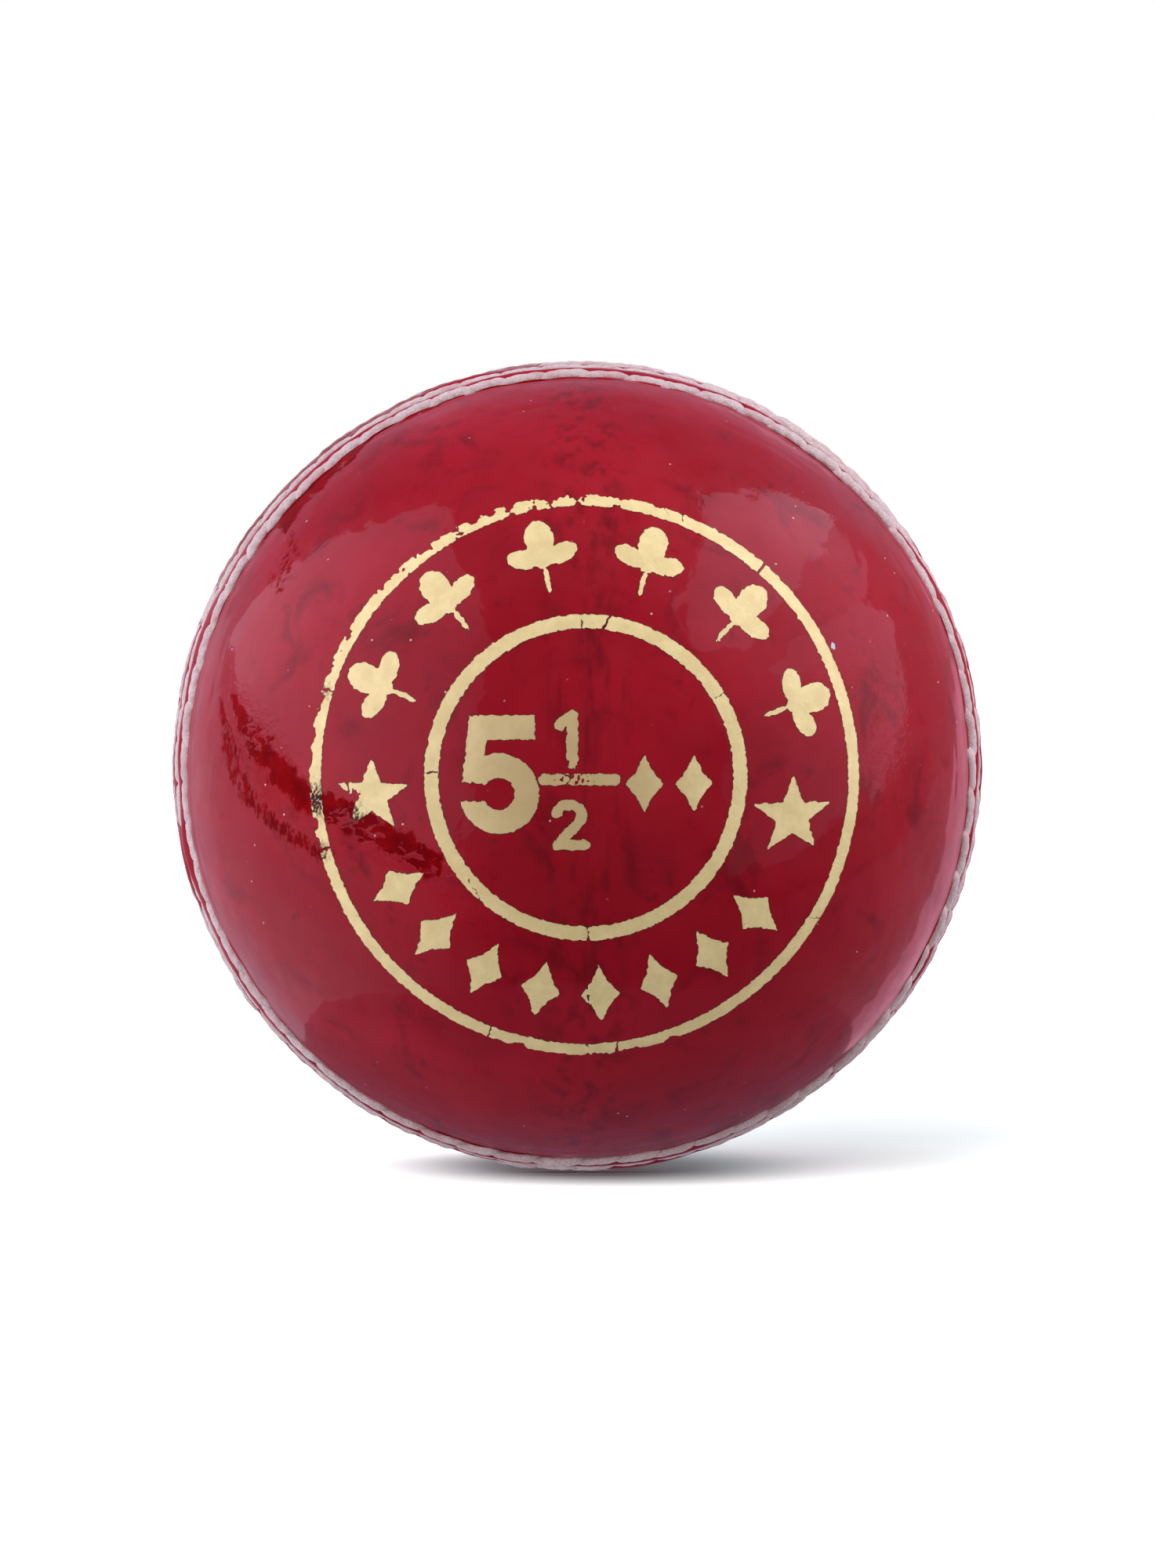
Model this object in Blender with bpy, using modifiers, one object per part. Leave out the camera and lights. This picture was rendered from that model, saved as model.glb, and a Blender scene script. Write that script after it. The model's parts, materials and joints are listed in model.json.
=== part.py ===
"""Four-piece cricket ball, 5 1/2 ounce size, as an assembly of its separate pieces.

The ball is built round its own seam axis, local Z, with the stamped cup towards +Z.
The empty "ball_axis" then turns that axis to world -Y, so the seam stands upright.
"""

import math

import bmesh
import bpy

MM = 0.001

# Driving dimensions, in metres. Radii are from the ball's centre unless said otherwise.
LEATHER_R = 35.8 * MM  # smooth leather at the poles: 224.9 mm circumference
RIDGE_R = 36.05 * MM  # leather swollen between the rows of stitching
LEATHER_IN_R = 32.5 * MM
SEAM_GAP = 0.3 * MM  # between any two pieces that meet
SEAM_THREAD_R = 0.6 * MM  # radius of a stitched thread
SEAM_THREAD_AT_R = 35.75 * MM  # centre of a thread, from the ball's centre
ROW_HEIGHTS = (7.9 * MM, 4.9 * MM, 1.9 * MM)  # outer, middle, inner row, from the seam plane
RIDGE_STARTS = 9.6 * MM  # height above the seam plane where the leather begins to swell
LINING_R = (31.3 * MM, 31.9 * MM)
NUCLEUS_R = 11.0 * MM
INNER_CORK_R = (11.3 * MM, 15.0 * MM)
INNER_WINDING_R = (15.3 * MM, 17.3 * MM)
MIDDLE_CORK_R = (17.6 * MM, 21.6 * MM)
MIDDLE_WINDING_R = (21.9 * MM, 23.9 * MM)
OUTER_CORK_R = (24.2 * MM, 28.2 * MM)
OUTER_WINDING_R = (28.5 * MM, 30.6 * MM)
YARN_TAIL_HOLE_R = 1.5 * MM  # hole in each winding where the yarn's tail is tucked in
CLOSING_THREAD_R = 0.45 * MM
CLOSING_THREAD_AT_R = 33.1 * MM
CLOSING_REBATE_R = 33.9 * MM
CLOSING_REBATE_HALF_WIDTH = 0.8 * MM
CLOSING_THREAD_HALF_ANGLE = math.radians(80)

# The gold stamp. Its plan is flat, in arc length from the pole: u to the right, v up.
FOIL_BASE_R = LEATHER_R + 0.15 * MM
FOIL_THICKNESS = 0.1 * MM
RING_WIDTH = 1.3 * MM
OUTER_RING_ARC = 26.4 * MM  # outer edge of each ring, arc length from the pole
INNER_RING_ARC = 14.4 * MM
BAND_ARC = 19.9 * MM  # middle of the band between the two rings
SPRIG_LENGTH = 7.4 * MM
SPRIG_HEART = 0.09  # where the leaves meet, as a share of the length
SPRIG_ANGLES = [math.radians(156.0 - 27.4 * i) for i in range(6)]
DIAMOND_SIZE = (3.6 * MM, 6.0 * MM)
DIAMOND_ANGLES = [math.radians(210.5 + 15.8 * i) for i in range(8)]
STAR_R = 3.3 * MM
STAR_WAIST = 0.42  # radius of a star's notches, as a share of its tips' radius
STARS = {
    "stamp_star_left": (19.5 * MM, math.radians(184.0)),
    "stamp_star_right": (18.9 * MM, math.radians(-10.0)),
}
FIVE_AT, FIVE_SIZE, FIVE_STROKE = (-7.7 * MM, 0.3 * MM), (7.0 * MM, 10.3 * MM), 2.1 * MM
ONE_AT, ONE_SIZE, ONE_STROKE = (-1.7 * MM, 3.6 * MM), (2.3 * MM, 4.6 * MM), 1.0 * MM
TWO_AT, TWO_SIZE, TWO_STROKE = (-1.6 * MM, -4.0 * MM), (3.1 * MM, 4.4 * MM), 0.9 * MM
BAR_AT, BAR_SIZE = (-0.7 * MM, -0.1 * MM), (6.2 * MM, 0.95 * MM)
UNIT_MARKS_AT = ((4.9 * MM, -0.5 * MM), (9.3 * MM, -0.5 * MM))
UNIT_MARK_SIZE = (3.4 * MM, 5.0 * MM)

# How finely the pieces are faceted.
LEATHER_STEPS = 36
CORE_STEPS = 16
LINING_STEPS = 24
ROW_STEPS = 48
SPRIG_POINTS = 32

COLOURS = {  # name: base colour, roughness, metallic
    "red_leather": ((0.42, 0.02, 0.035), 0.22, 0.0),
    "stitch_thread": ((0.78, 0.56, 0.54), 0.85, 0.0),
    "gold_foil": ((0.80, 0.62, 0.30), 0.35, 1.0),
    "flax_thread": ((0.62, 0.52, 0.36), 0.9, 0.0),
    "lining_leather": ((0.50, 0.30, 0.20), 0.8, 0.0),
    "cork": ((0.48, 0.30, 0.17), 0.9, 0.0),
    "wool_yarn": ((0.72, 0.66, 0.55), 0.95, 0.0),
    "cork_rubber": ((0.16, 0.10, 0.07), 0.85, 0.0),
}


def clear_scene():
    for old in list(bpy.data.objects):
        bpy.data.objects.remove(old, do_unlink=True)


def make_materials():
    made = {}
    for name, (colour, roughness, metallic) in COLOURS.items():
        material = bpy.data.materials.new(name)
        material.use_nodes = True
        shader = material.node_tree.nodes["Principled BSDF"]
        shader.inputs["Base Color"].default_value = (*colour, 1.0)
        shader.inputs["Roughness"].default_value = roughness
        shader.inputs["Metallic"].default_value = metallic
        made[name] = material
    return made


def make_collection(name):
    collection = bpy.data.collections.new(name)
    bpy.context.scene.collection.children.link(collection)
    return collection


def make_axis():
    axis = bpy.data.objects.new("ball_axis", None)
    axis.rotation_euler = (math.radians(90), 0.0, 0.0)
    BALL.objects.link(axis)
    return axis


def take_primitive(name):
    """The primitive just added, named and out of the collection it was added to."""
    obj = bpy.context.object
    for collection in list(obj.users_collection):
        collection.objects.unlink(obj)
    obj.name = name
    return obj


def place(obj, material):
    """Puts a finished sub-part into the ball and gives it its material."""
    BALL.objects.link(obj)
    obj.parent = AXIS
    obj.data.materials.append(MATERIALS[material])
    return obj


def place_cutter(obj):
    CUTTERS.objects.link(obj)
    obj.parent = AXIS
    obj.hide_render = True
    obj.display_type = "WIRE"
    return obj


# ---------------------------------------------------------------- turned shapes


def arc(radius, start, end, count):
    """Points (distance from the axis, height) on a meridian; angles are from the pole."""
    points = []
    for i in range(count + 1):
        angle = start + (end - start) * i / count
        points.append((radius * math.sin(angle), radius * math.cos(angle)))
    return points


def profile_mesh(name, lines):
    """Edges in the XZ plane, one chain for each line of (distance from the axis, height)."""
    shape = bmesh.new()
    for line in lines:
        chain = [shape.verts.new((max(r, 0.0), 0.0, z)) for r, z in line]
        for a, b in zip(chain, chain[1:]):
            shape.edges.new((a, b))
    mesh = bpy.data.meshes.new(name)
    shape.to_mesh(mesh)
    shape.free()
    return mesh


def turned(name, lines, steps):
    """An object whose Screw modifier turns the profile once round the ball's axis."""
    obj = bpy.data.objects.new(name, profile_mesh(name, lines))
    screw = obj.modifiers.new("turn", "SCREW")
    screw.steps = steps
    screw.render_steps = steps
    screw.use_merge_vertices = True
    screw.merge_threshold = 0.01 * MM
    screw.use_smooth_shade = True
    return obj


def shell_lines(radii, bands):
    """Two nested spheres: the outer one runs down its outer side, the inner one back up."""
    inner, outer = radii
    return [arc(outer, 0.0, math.pi, bands), arc(inner, math.pi, 0.0, bands)]


def cup_lines(radii, bands):
    """A hemispherical cup above the seam plane, with a flat rim half a gap above it."""
    inner, outer = radii
    rim = SEAM_GAP / 2
    outer_side = arc(outer, 0.0, math.acos(rim / outer), bands)
    inner_side = arc(inner, math.acos(rim / inner), 0.0, bands)
    return [outer_side + inner_side]


def winding_lines(radii, bands):
    """A wound layer, closed but for the small hole at its top where the tail goes in."""
    inner, outer = radii
    outer_side = arc(outer, math.asin(YARN_TAIL_HOLE_R / outer), math.pi, bands)
    inner_side = arc(inner, math.pi, math.asin(YARN_TAIL_HOLE_R / inner), bands)
    return [inner_side + outer_side]


def leather_radius(height):
    """Outer radius of the leather at a height above the seam plane, away from the stitching."""
    swell = min(max((RIDGE_STARTS - height) / (RIDGE_STARTS - ROW_HEIGHTS[0]), 0.0), 1.0)
    return LEATHER_R + (RIDGE_R - LEATHER_R) * swell


def surface_point(height):
    radius = leather_radius(height)
    return (math.sqrt(radius**2 - height**2), height)


def leather_lines():
    """One leather cup: smooth crown, three stitching grooves, rim, and inside."""
    rim = SEAM_GAP / 2
    crown_end = math.acos(RIDGE_STARTS / LEATHER_R)
    line = arc(LEATHER_R, 0.0, crown_end, 7)
    half_width = SEAM_THREAD_R + SEAM_GAP
    floor_r = SEAM_THREAD_AT_R - SEAM_THREAD_R - SEAM_GAP
    for height in ROW_HEIGHTS:
        line.append(surface_point(height + half_width))
        for z in (height + half_width / 2, height - half_width / 2):
            line.append((math.sqrt(floor_r**2 - z**2), z))
        line.append(surface_point(height - half_width))
    line.append(surface_point(rim))
    line += arc(LEATHER_IN_R, math.acos(rim / LEATHER_IN_R), 0.0, 6)
    return [line]


# ---------------------------------------------------------------- cutters


def box_cutter(name, size, centre, rotation):
    bpy.ops.mesh.primitive_cube_add(size=1.0)
    obj = take_primitive(name)
    for vertex in obj.data.vertices:
        vertex.co = [side * co + at for side, co, at in zip(size, vertex.co, centre)]
    obj.rotation_mode = "ZYX"  # turned about its own Z before it is tipped about X
    obj.rotation_euler = rotation
    return place_cutter(obj)


def half_cutter(name, rotation):
    """Keeps what lies on one side of a plane through the centre, less half a gap."""
    reach = 3 * LEATHER_R
    return box_cutter(name, (reach, reach, reach), (reach / 2 + SEAM_GAP / 2, 0, 0), rotation)


def quadrant_cutter(name, rotation):
    """Keeps one quarter turn about the cutter's own Z axis, less half a gap each side."""
    reach = 3 * LEATHER_R
    corner = reach / 2 + SEAM_GAP / 2
    return box_cutter(name, (reach, reach, reach), (corner, corner, 0), rotation)


def rebate_cutter(name, rotation):
    """A disc that takes a rebate out of the inner edge of two quarters, for their thread."""
    bpy.ops.mesh.primitive_cylinder_add(
        vertices=LEATHER_STEPS, radius=CLOSING_REBATE_R, depth=2 * CLOSING_REBATE_HALF_WIDTH
    )
    obj = take_primitive(name)
    obj.rotation_euler = rotation
    return place_cutter(obj)


def cut(obj, cutter, operation):
    modifier = obj.modifiers.new(operation.lower() + "_" + cutter.name, "BOOLEAN")
    modifier.operation = operation
    modifier.object = cutter
    modifier.solver = "EXACT"


# ---------------------------------------------------------------- core


def make_nucleus():
    bpy.ops.mesh.primitive_uv_sphere_add(
        segments=CORE_STEPS, ring_count=CORE_STEPS // 2, radius=NUCLEUS_R
    )
    nucleus = take_primitive("core_nucleus")
    nucleus.data.shade_smooth()
    place(nucleus, "cork_rubber")


def make_inner_cork():
    tilt = math.radians(35)
    for side, turn in (("left", math.pi), ("right", 0.0)):
        name = "inner_cork_cup_" + side
        cup = turned(name, shell_lines(INNER_CORK_R, CORE_STEPS // 2), CORE_STEPS)
        cut(cup, half_cutter("keep_" + name, (0.0, tilt + turn, 0.0)), "INTERSECT")
        place(cup, "cork")


def make_cork_slips(layer, radii, tilt):
    """Four cork slips that close round the winding below like the peel of an orange."""
    for i in range(4):
        name = f"{layer}_cork_slip_{i + 1}"
        slip = turned(name, shell_lines(radii, CORE_STEPS // 2), CORE_STEPS)
        turn = math.radians(45 + 90 * i)
        cut(slip, quadrant_cutter("keep_" + name, (tilt, 0.0, turn)), "INTERSECT")
        place(slip, "cork")


def make_winding(name, radii):
    place(turned(name, winding_lines(radii, CORE_STEPS // 2), CORE_STEPS), "wool_yarn")


# ---------------------------------------------------------------- cover


def make_linings():
    for side, turn in (("front", 0.0), ("back", math.pi)):
        lining = turned("cup_lining_" + side, cup_lines(LINING_R, 6), LINING_STEPS)
        lining.rotation_euler = (turn, 0.0, 0.0)
        place(lining, "lining_leather")


def make_leather():
    """Two quarters to a cup. The closing seam of the back cup is square to the front one."""
    front_rebate = rebate_cutter("front_rebate", (0.0, math.radians(90), 0.0))
    back_rebate = rebate_cutter("back_rebate", (math.radians(90), 0.0, 0.0))
    quarters = (  # name, tip over for the back cup, which way the kept half faces, rebate
        ("front_right", 0.0, 0.0, front_rebate),
        ("front_left", 0.0, math.pi, front_rebate),
        ("back_upper", math.pi, math.pi / 2, back_rebate),
        ("back_lower", math.pi, -math.pi / 2, back_rebate),
    )
    for side, tip, facing, rebate in quarters:
        name = "leather_quarter_" + side
        quarter = turned(name, leather_lines(), LEATHER_STEPS)
        quarter.rotation_euler = (tip, 0.0, 0.0)
        cut(quarter, half_cutter("keep_" + name, (0.0, 0.0, facing)), "INTERSECT")
        cut(quarter, rebate, "DIFFERENCE")
        place(quarter, "red_leather")


def make_closing_threads():
    """The hidden thread that closes each cup, laid in the rebate of its two quarters."""
    for side, rotation in (("front", (0.0, 0.0, math.pi / 2)), ("back", (math.pi, 0.0, 0.0))):
        name = "closing_thread_" + side
        path = bpy.data.curves.new(name, "CURVE")
        path.dimensions = "3D"
        path.bevel_depth = CLOSING_THREAD_R
        path.bevel_resolution = 1
        path.use_fill_caps = True
        line = arc(CLOSING_THREAD_AT_R, -CLOSING_THREAD_HALF_ANGLE, CLOSING_THREAD_HALF_ANGLE, 20)
        spline = path.splines.new("POLY")
        spline.points.add(len(line) - 1)
        for point, (across, height) in zip(spline.points, line):
            point.co = (across, 0.0, height, 1.0)
        thread = bpy.data.objects.new(name, path)
        thread.rotation_euler = rotation
        place(thread, "flax_thread")


def make_seam_threads():
    """Six rows of stitching, three to a cup, each one thread lying in its groove."""
    for side, sign in (("front", 1), ("back", -1)):
        for row, height in zip(("outer", "middle", "inner"), ROW_HEIGHTS):
            bpy.ops.mesh.primitive_torus_add(
                major_segments=ROW_STEPS,
                minor_segments=6,
                major_radius=math.sqrt(SEAM_THREAD_AT_R**2 - height**2),
                minor_radius=SEAM_THREAD_R,
            )
            thread = take_primitive(f"seam_thread_{side}_{row}")
            thread.location = (0.0, 0.0, sign * height)
            thread.data.shade_smooth()
            place(thread, "stitch_thread")


# ---------------------------------------------------------------- gold stamp


def make_stamp_ring(name, outer_arc):
    outer, inner = outer_arc / LEATHER_R, (outer_arc - RING_WIDTH) / LEATHER_R
    low, high = FOIL_BASE_R, FOIL_BASE_R + FOIL_THICKNESS
    corners = [(high, inner), (high, outer), (low, outer), (low, inner), (high, inner)]
    line = [(r * math.sin(angle), r * math.cos(angle)) for r, angle in corners]
    place(turned(name, [line], LEATHER_STEPS), "gold_foil")


def star_outline(radius):
    """Five-pointed star, a tip upwards."""
    points = []
    for i in range(10):
        reach = radius * (STAR_WAIST if i % 2 else 1.0)
        angle = math.pi / 2 + i * math.pi / 5
        points.append((reach * math.cos(angle), reach * math.sin(angle)))
    return points


def diamond_outline(size):
    """Lozenge with slightly hollow sides, its long way along v."""
    half_u, half_v, hollow = size[0] / 2, size[1] / 2, 0.43
    points = []
    for sign_u, sign_v in ((1, 1), (-1, 1), (-1, -1), (1, -1)):
        tip = (sign_u * half_u, 0.0) if sign_u == sign_v else (0.0, sign_v * half_v)
        points.append(tip)
        points.append((sign_u * half_u * hollow, sign_v * half_v * hollow))
    return points


def sprig_outline(length):
    """A leaf with two smaller leaves at its foot and a short stem, pointing along +v."""
    petals = (  # direction from +v, reach as a share of the length, narrowness
        (0.0, 0.58, 3.2),
        (math.radians(72), 0.46, 4.2),
        (math.radians(-72), 0.46, 4.2),
        (math.pi, 0.42, 60.0),
    )
    points = []
    for i in range(SPRIG_POINTS):
        angle = 2 * math.pi * i / SPRIG_POINTS
        reach = SPRIG_HEART
        for direction, share, narrowness in petals:
            facing = max(math.cos(angle - direction), 0.0)
            reach = max(reach, share * facing**narrowness)
        points.append((-length * reach * math.sin(angle), length * reach * math.cos(angle)))
    return points


def stroke_outline(line, width):
    """The outline of a stroke of even width along a line of points, with mitred corners."""
    left, right = [], []
    for i, (u, v) in enumerate(line):
        before = line[max(i - 1, 0)]
        after = line[min(i + 1, len(line) - 1)]
        first = unit(u - before[0], v - before[1]) if i else unit(after[0] - u, after[1] - v)
        last = unit(after[0] - u, after[1] - v) if i < len(line) - 1 else first
        across = unit(-(first[1] + last[1]), first[0] + last[0])
        mitre = width / 2 / max(across[0] * -last[1] + across[1] * last[0], 0.5)
        left.append((u + across[0] * mitre, v + across[1] * mitre))
        right.append((u - across[0] * mitre, v - across[1] * mitre))
    return right + left[::-1]


def unit(u, v):
    length = math.hypot(u, v)
    return (u / length, v / length)


def bend(centre, radii, start, end, count):
    """Points on an ellipse, for the round stretch of a numeral."""
    points = []
    for i in range(count + 1):
        angle = math.radians(start + (end - start) * i / count)
        points.append((centre[0] + radii[0] * math.cos(angle), centre[1] + radii[1] * math.sin(angle)))
    return points


def five_outline(size, stroke):
    """A bold five: top bar, stem leaning on a round bowl, and the bowl's open end."""
    half_u, half_v = size[0] / 2, size[1] / 2
    bowl_at = (0.0, half_u - half_v)
    outer, inner = (half_u, half_u), (half_u - stroke, half_u - stroke)
    top = [(0.9 * half_u, half_v), (-0.74 * half_u, half_v)]
    stem_foot = [(-0.92 * half_u, bowl_at[1] + 0.3 * half_u)]
    inside = bend(bowl_at, inner, 145, -150, 9)
    outside = bend(bowl_at, outer, -168, 112, 14)
    under_bar = [(-0.29 * half_u, half_v - stroke), (0.9 * half_u, half_v - stroke)]
    return top + stem_foot + inside + outside + under_bar


def one_line(size, stroke):
    half_u, half_v = (size[0] - stroke) / 2, size[1] / 2
    return [(-half_u, half_v * 0.45), (half_u * 0.55, half_v * 0.78), (half_u * 0.55, -half_v)]


def two_line(size, stroke):
    half_u, half_v = (size[0] - stroke) / 2, (size[1] - stroke) / 2
    loop = (half_u, half_v * 0.52)
    loop_at = (0.0, half_v - loop[1])
    return bend(loop_at, loop, 165, -30, 8) + [(-half_u * 0.9, -half_v), (half_u * 1.2, -half_v)]


def bar_outline(size):
    half_u, half_v = size[0] / 2, size[1] / 2
    return [(half_u, half_v), (-half_u, half_v), (-half_u, -half_v), (half_u, -half_v)]


def wrap_on_ball(u, v, lift):
    """A point of the flat plan, laid on the leather at its arc length from the pole."""
    reach = math.hypot(u, v)
    radius = FOIL_BASE_R + lift
    angle = reach / LEATHER_R
    if reach == 0.0:
        return (0.0, 0.0, radius)
    across = radius * math.sin(angle) / reach
    return (u * across, v * across, radius * math.cos(angle))


def make_stamp_mark(name, outline, at, turn=0.0):
    """A flat outline, filled and given its thickness, then wrapped onto the ball."""
    flat = bpy.data.curves.new(name, "CURVE")
    flat.dimensions = "2D"
    flat.fill_mode = "BOTH"
    flat.extrude = FOIL_THICKNESS / 2
    spline = flat.splines.new("POLY")
    spline.points.add(len(outline) - 1)
    spline.use_cyclic_u = True
    cos_turn, sin_turn = math.cos(turn), math.sin(turn)
    for point, (u, v) in zip(spline.points, outline):
        turned_u = at[0] + u * cos_turn - v * sin_turn
        turned_v = at[1] + u * sin_turn + v * cos_turn
        point.co = (turned_u, turned_v, 0.0, 1.0)
    guide = bpy.data.objects.new(name + "_outline", flat)
    CUTTERS.objects.link(guide)
    bpy.context.view_layer.update()
    graph = bpy.context.evaluated_depsgraph_get()
    mesh = bpy.data.meshes.new_from_object(guide.evaluated_get(graph))
    bpy.data.objects.remove(guide, do_unlink=True)
    shape = bmesh.new()
    shape.from_mesh(mesh)
    bmesh.ops.remove_doubles(shape, verts=shape.verts, dist=0.001 * MM)
    for vertex in shape.verts:
        vertex.co = wrap_on_ball(vertex.co.x, vertex.co.y, vertex.co.z + FOIL_THICKNESS / 2)
    bmesh.ops.recalc_face_normals(shape, faces=shape.faces)
    shape.to_mesh(mesh)
    shape.free()
    mesh.name = name
    place(bpy.data.objects.new(name, mesh), "gold_foil")


def on_band(angle, reach=BAND_ARC):
    return (reach * math.cos(angle), reach * math.sin(angle))


def make_stamp():
    make_stamp_ring("stamp_ring_outer", OUTER_RING_ARC)
    make_stamp_ring("stamp_ring_inner", INNER_RING_ARC)
    for name, (reach, angle) in STARS.items():
        make_stamp_mark(name, star_outline(STAR_R), on_band(angle, reach))
    for i, angle in enumerate(SPRIG_ANGLES):
        outline = sprig_outline(SPRIG_LENGTH)
        make_stamp_mark(f"stamp_sprig_{i + 1}", outline, on_band(angle), angle - math.pi / 2)
    for i, angle in enumerate(DIAMOND_ANGLES):
        outline = diamond_outline(DIAMOND_SIZE)
        make_stamp_mark(f"stamp_diamond_{i + 1}", outline, on_band(angle), angle - math.pi / 2)
    make_stamp_mark("stamp_five", five_outline(FIVE_SIZE, FIVE_STROKE), FIVE_AT)
    one = stroke_outline(one_line(ONE_SIZE, ONE_STROKE), ONE_STROKE)
    make_stamp_mark("stamp_one", one, ONE_AT)
    two = stroke_outline(two_line(TWO_SIZE, TWO_STROKE), TWO_STROKE)
    make_stamp_mark("stamp_two", two, TWO_AT)
    make_stamp_mark("stamp_fraction_bar", bar_outline(BAR_SIZE), BAR_AT)
    for i, at in enumerate(UNIT_MARKS_AT):
        make_stamp_mark(f"stamp_unit_mark_{i + 1}", diamond_outline(UNIT_MARK_SIZE), at)


clear_scene()
BALL = make_collection("cricket_ball")
CUTTERS = make_collection("cutters")
MATERIALS = make_materials()
AXIS = make_axis()
make_nucleus()
make_inner_cork()
make_winding("inner_yarn_winding", INNER_WINDING_R)
make_cork_slips("middle", MIDDLE_CORK_R, math.radians(50))
make_winding("middle_yarn_winding", MIDDLE_WINDING_R)
make_cork_slips("outer", OUTER_CORK_R, math.radians(-20))
make_winding("outer_yarn_winding", OUTER_WINDING_R)
make_linings()
make_leather()
make_closing_threads()
make_seam_threads()
make_stamp()
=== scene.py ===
"""A four-piece cricket ball: lacquered red leather, six rows of stitching and a worn gold stamp.

Everything is worked out in millimetres in the ball's own axes, where the seam's axis points at
the viewer (x to the right, y up, z out of the stamped cup), and turned to world axes at the end.
"""

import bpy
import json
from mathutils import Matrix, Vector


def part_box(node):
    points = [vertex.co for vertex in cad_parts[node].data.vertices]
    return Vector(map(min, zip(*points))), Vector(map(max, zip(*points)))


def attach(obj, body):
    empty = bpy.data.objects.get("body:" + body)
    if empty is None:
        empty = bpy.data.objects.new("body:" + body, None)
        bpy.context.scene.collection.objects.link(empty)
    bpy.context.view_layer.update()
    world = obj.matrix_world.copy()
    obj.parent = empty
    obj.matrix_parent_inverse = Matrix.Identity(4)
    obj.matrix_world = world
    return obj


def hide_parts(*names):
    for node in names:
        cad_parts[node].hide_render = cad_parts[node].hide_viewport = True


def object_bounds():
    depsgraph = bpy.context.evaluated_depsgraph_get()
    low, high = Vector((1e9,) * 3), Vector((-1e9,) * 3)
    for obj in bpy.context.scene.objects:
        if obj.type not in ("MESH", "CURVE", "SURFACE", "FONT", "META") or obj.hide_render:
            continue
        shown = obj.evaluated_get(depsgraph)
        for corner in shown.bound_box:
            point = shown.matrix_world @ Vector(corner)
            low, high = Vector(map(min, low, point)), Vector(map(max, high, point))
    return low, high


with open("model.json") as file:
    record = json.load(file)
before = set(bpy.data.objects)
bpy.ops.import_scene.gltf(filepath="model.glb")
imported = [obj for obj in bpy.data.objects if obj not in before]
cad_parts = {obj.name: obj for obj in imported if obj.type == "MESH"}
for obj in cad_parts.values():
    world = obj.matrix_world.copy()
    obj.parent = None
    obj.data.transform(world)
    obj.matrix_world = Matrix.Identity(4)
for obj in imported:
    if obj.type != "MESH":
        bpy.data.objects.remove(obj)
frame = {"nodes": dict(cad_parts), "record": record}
CAD_BOX = [[float(x) for x in corner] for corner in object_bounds()]

import json
import math

import bpy
import numpy as np
from mathutils import Vector

MM = 0.001


def cad_box(node):
    """Lowest and highest corner of a CAD node, in millimetres, in the ball's own axes."""
    low, high = (np.array(corner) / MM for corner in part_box(node))
    return np.array([low[0], low[2], -high[1]]), np.array([high[0], high[2], -low[1]])


# ------ sizes read from the frame

LEATHER_R = cad_box("leather_quarter_front_left")[1][2]  # smooth leather, at the pole
RIDGE_R = cad_box("leather_quarter_front_left")[1][1]  # leather between the rows
SIDES = (("front", 1), ("back", -1))
ROWS = ("outer", "middle", "inner")
ROW_HEIGHT = {row: sum(c[2] for c in cad_box(f"seam_thread_front_{row}")) / 2 for row in ROWS}
CREST_R = math.hypot(cad_box("seam_thread_front_outer")[1][0], ROW_HEIGHT["outer"])
FOIL_R = cad_box("stamp_fraction_bar")[1][2]


def ring_arc(node):
    """Outer edge of a stamped ring, as arc length from the pole."""
    return LEATHER_R * math.asin(min(cad_box(node)[1][0] / FOIL_R, 1.0))


OUTER_RING_ARC = ring_arc("stamp_ring_outer")
INNER_RING_ARC = ring_arc("stamp_ring_inner")

# ------ sizes of the looks, in millimetres

LEATHER_IN_R = 32.5  # the flesh side
RIM_R = 35.0  # where the rim of a cup turns in
STITCHES = 62  # in a row
STITCH_OVERLAP = 1.36  # length of a stitch over the pitch of the row
STITCH_HALF_WIDTH = 0.72
STITCH_HALF_HEIGHT = 0.50
STITCH_SLANT = 0.36  # how far a stitch's ends stand to either side of its row
RING_WIDTH = 1.3
QUARTER_GAP = 0.004  # the quarters are drawn tight against each other
CUP_GAP = 0.004  # and so are the two cups

# ------ noise and small maths


def waves(points, wavelength, seed, count=36):
    """Smooth random field of unit spread, made of plane waves; same result every run."""
    rng = np.random.default_rng(seed)
    directions = rng.normal(size=(count, points.shape[-1]))
    directions /= np.linalg.norm(directions, axis=1)[:, None]
    numbers = 2 * np.pi / wavelength * rng.uniform(0.6, 1.5, count)
    phases = rng.uniform(0, 2 * np.pi, count)
    total = np.zeros(points.shape[:-1])
    for direction, number, phase in zip(directions, numbers, phases):
        total += np.sin(points @ (direction * number) + phase)
    return total / math.sqrt(count / 2)


def smooth(low, high, value):
    t = np.clip((value - low) / (high - low), 0.0, 1.0)
    return t * t * (3 - 2 * t)


def bell(value, width):
    return np.exp(-((value / width) ** 2))


def spotted(points, spots):
    """The sum of round soft spots, each given as (x, y, radius, strength)."""
    x, y = points[..., 0], points[..., 1]
    return sum(strength * bell(np.hypot(x - at_x, y - at_y), r) for at_x, at_y, r, strength in spots)


def to_world(points):
    """Ball axes in millimetres to world axes in metres."""
    points = np.asarray(points, float)
    return np.stack([points[..., 0], -points[..., 2], points[..., 1]], -1) * MM


def on_sphere(theta, phi, radius):
    """Ball axes from the angle to the pole and the angle round it."""
    across = radius * np.sin(theta)
    return np.stack([across * np.cos(phi), across * np.sin(phi), radius * np.cos(theta)], -1)


# ------ the stamp's plan


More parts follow.
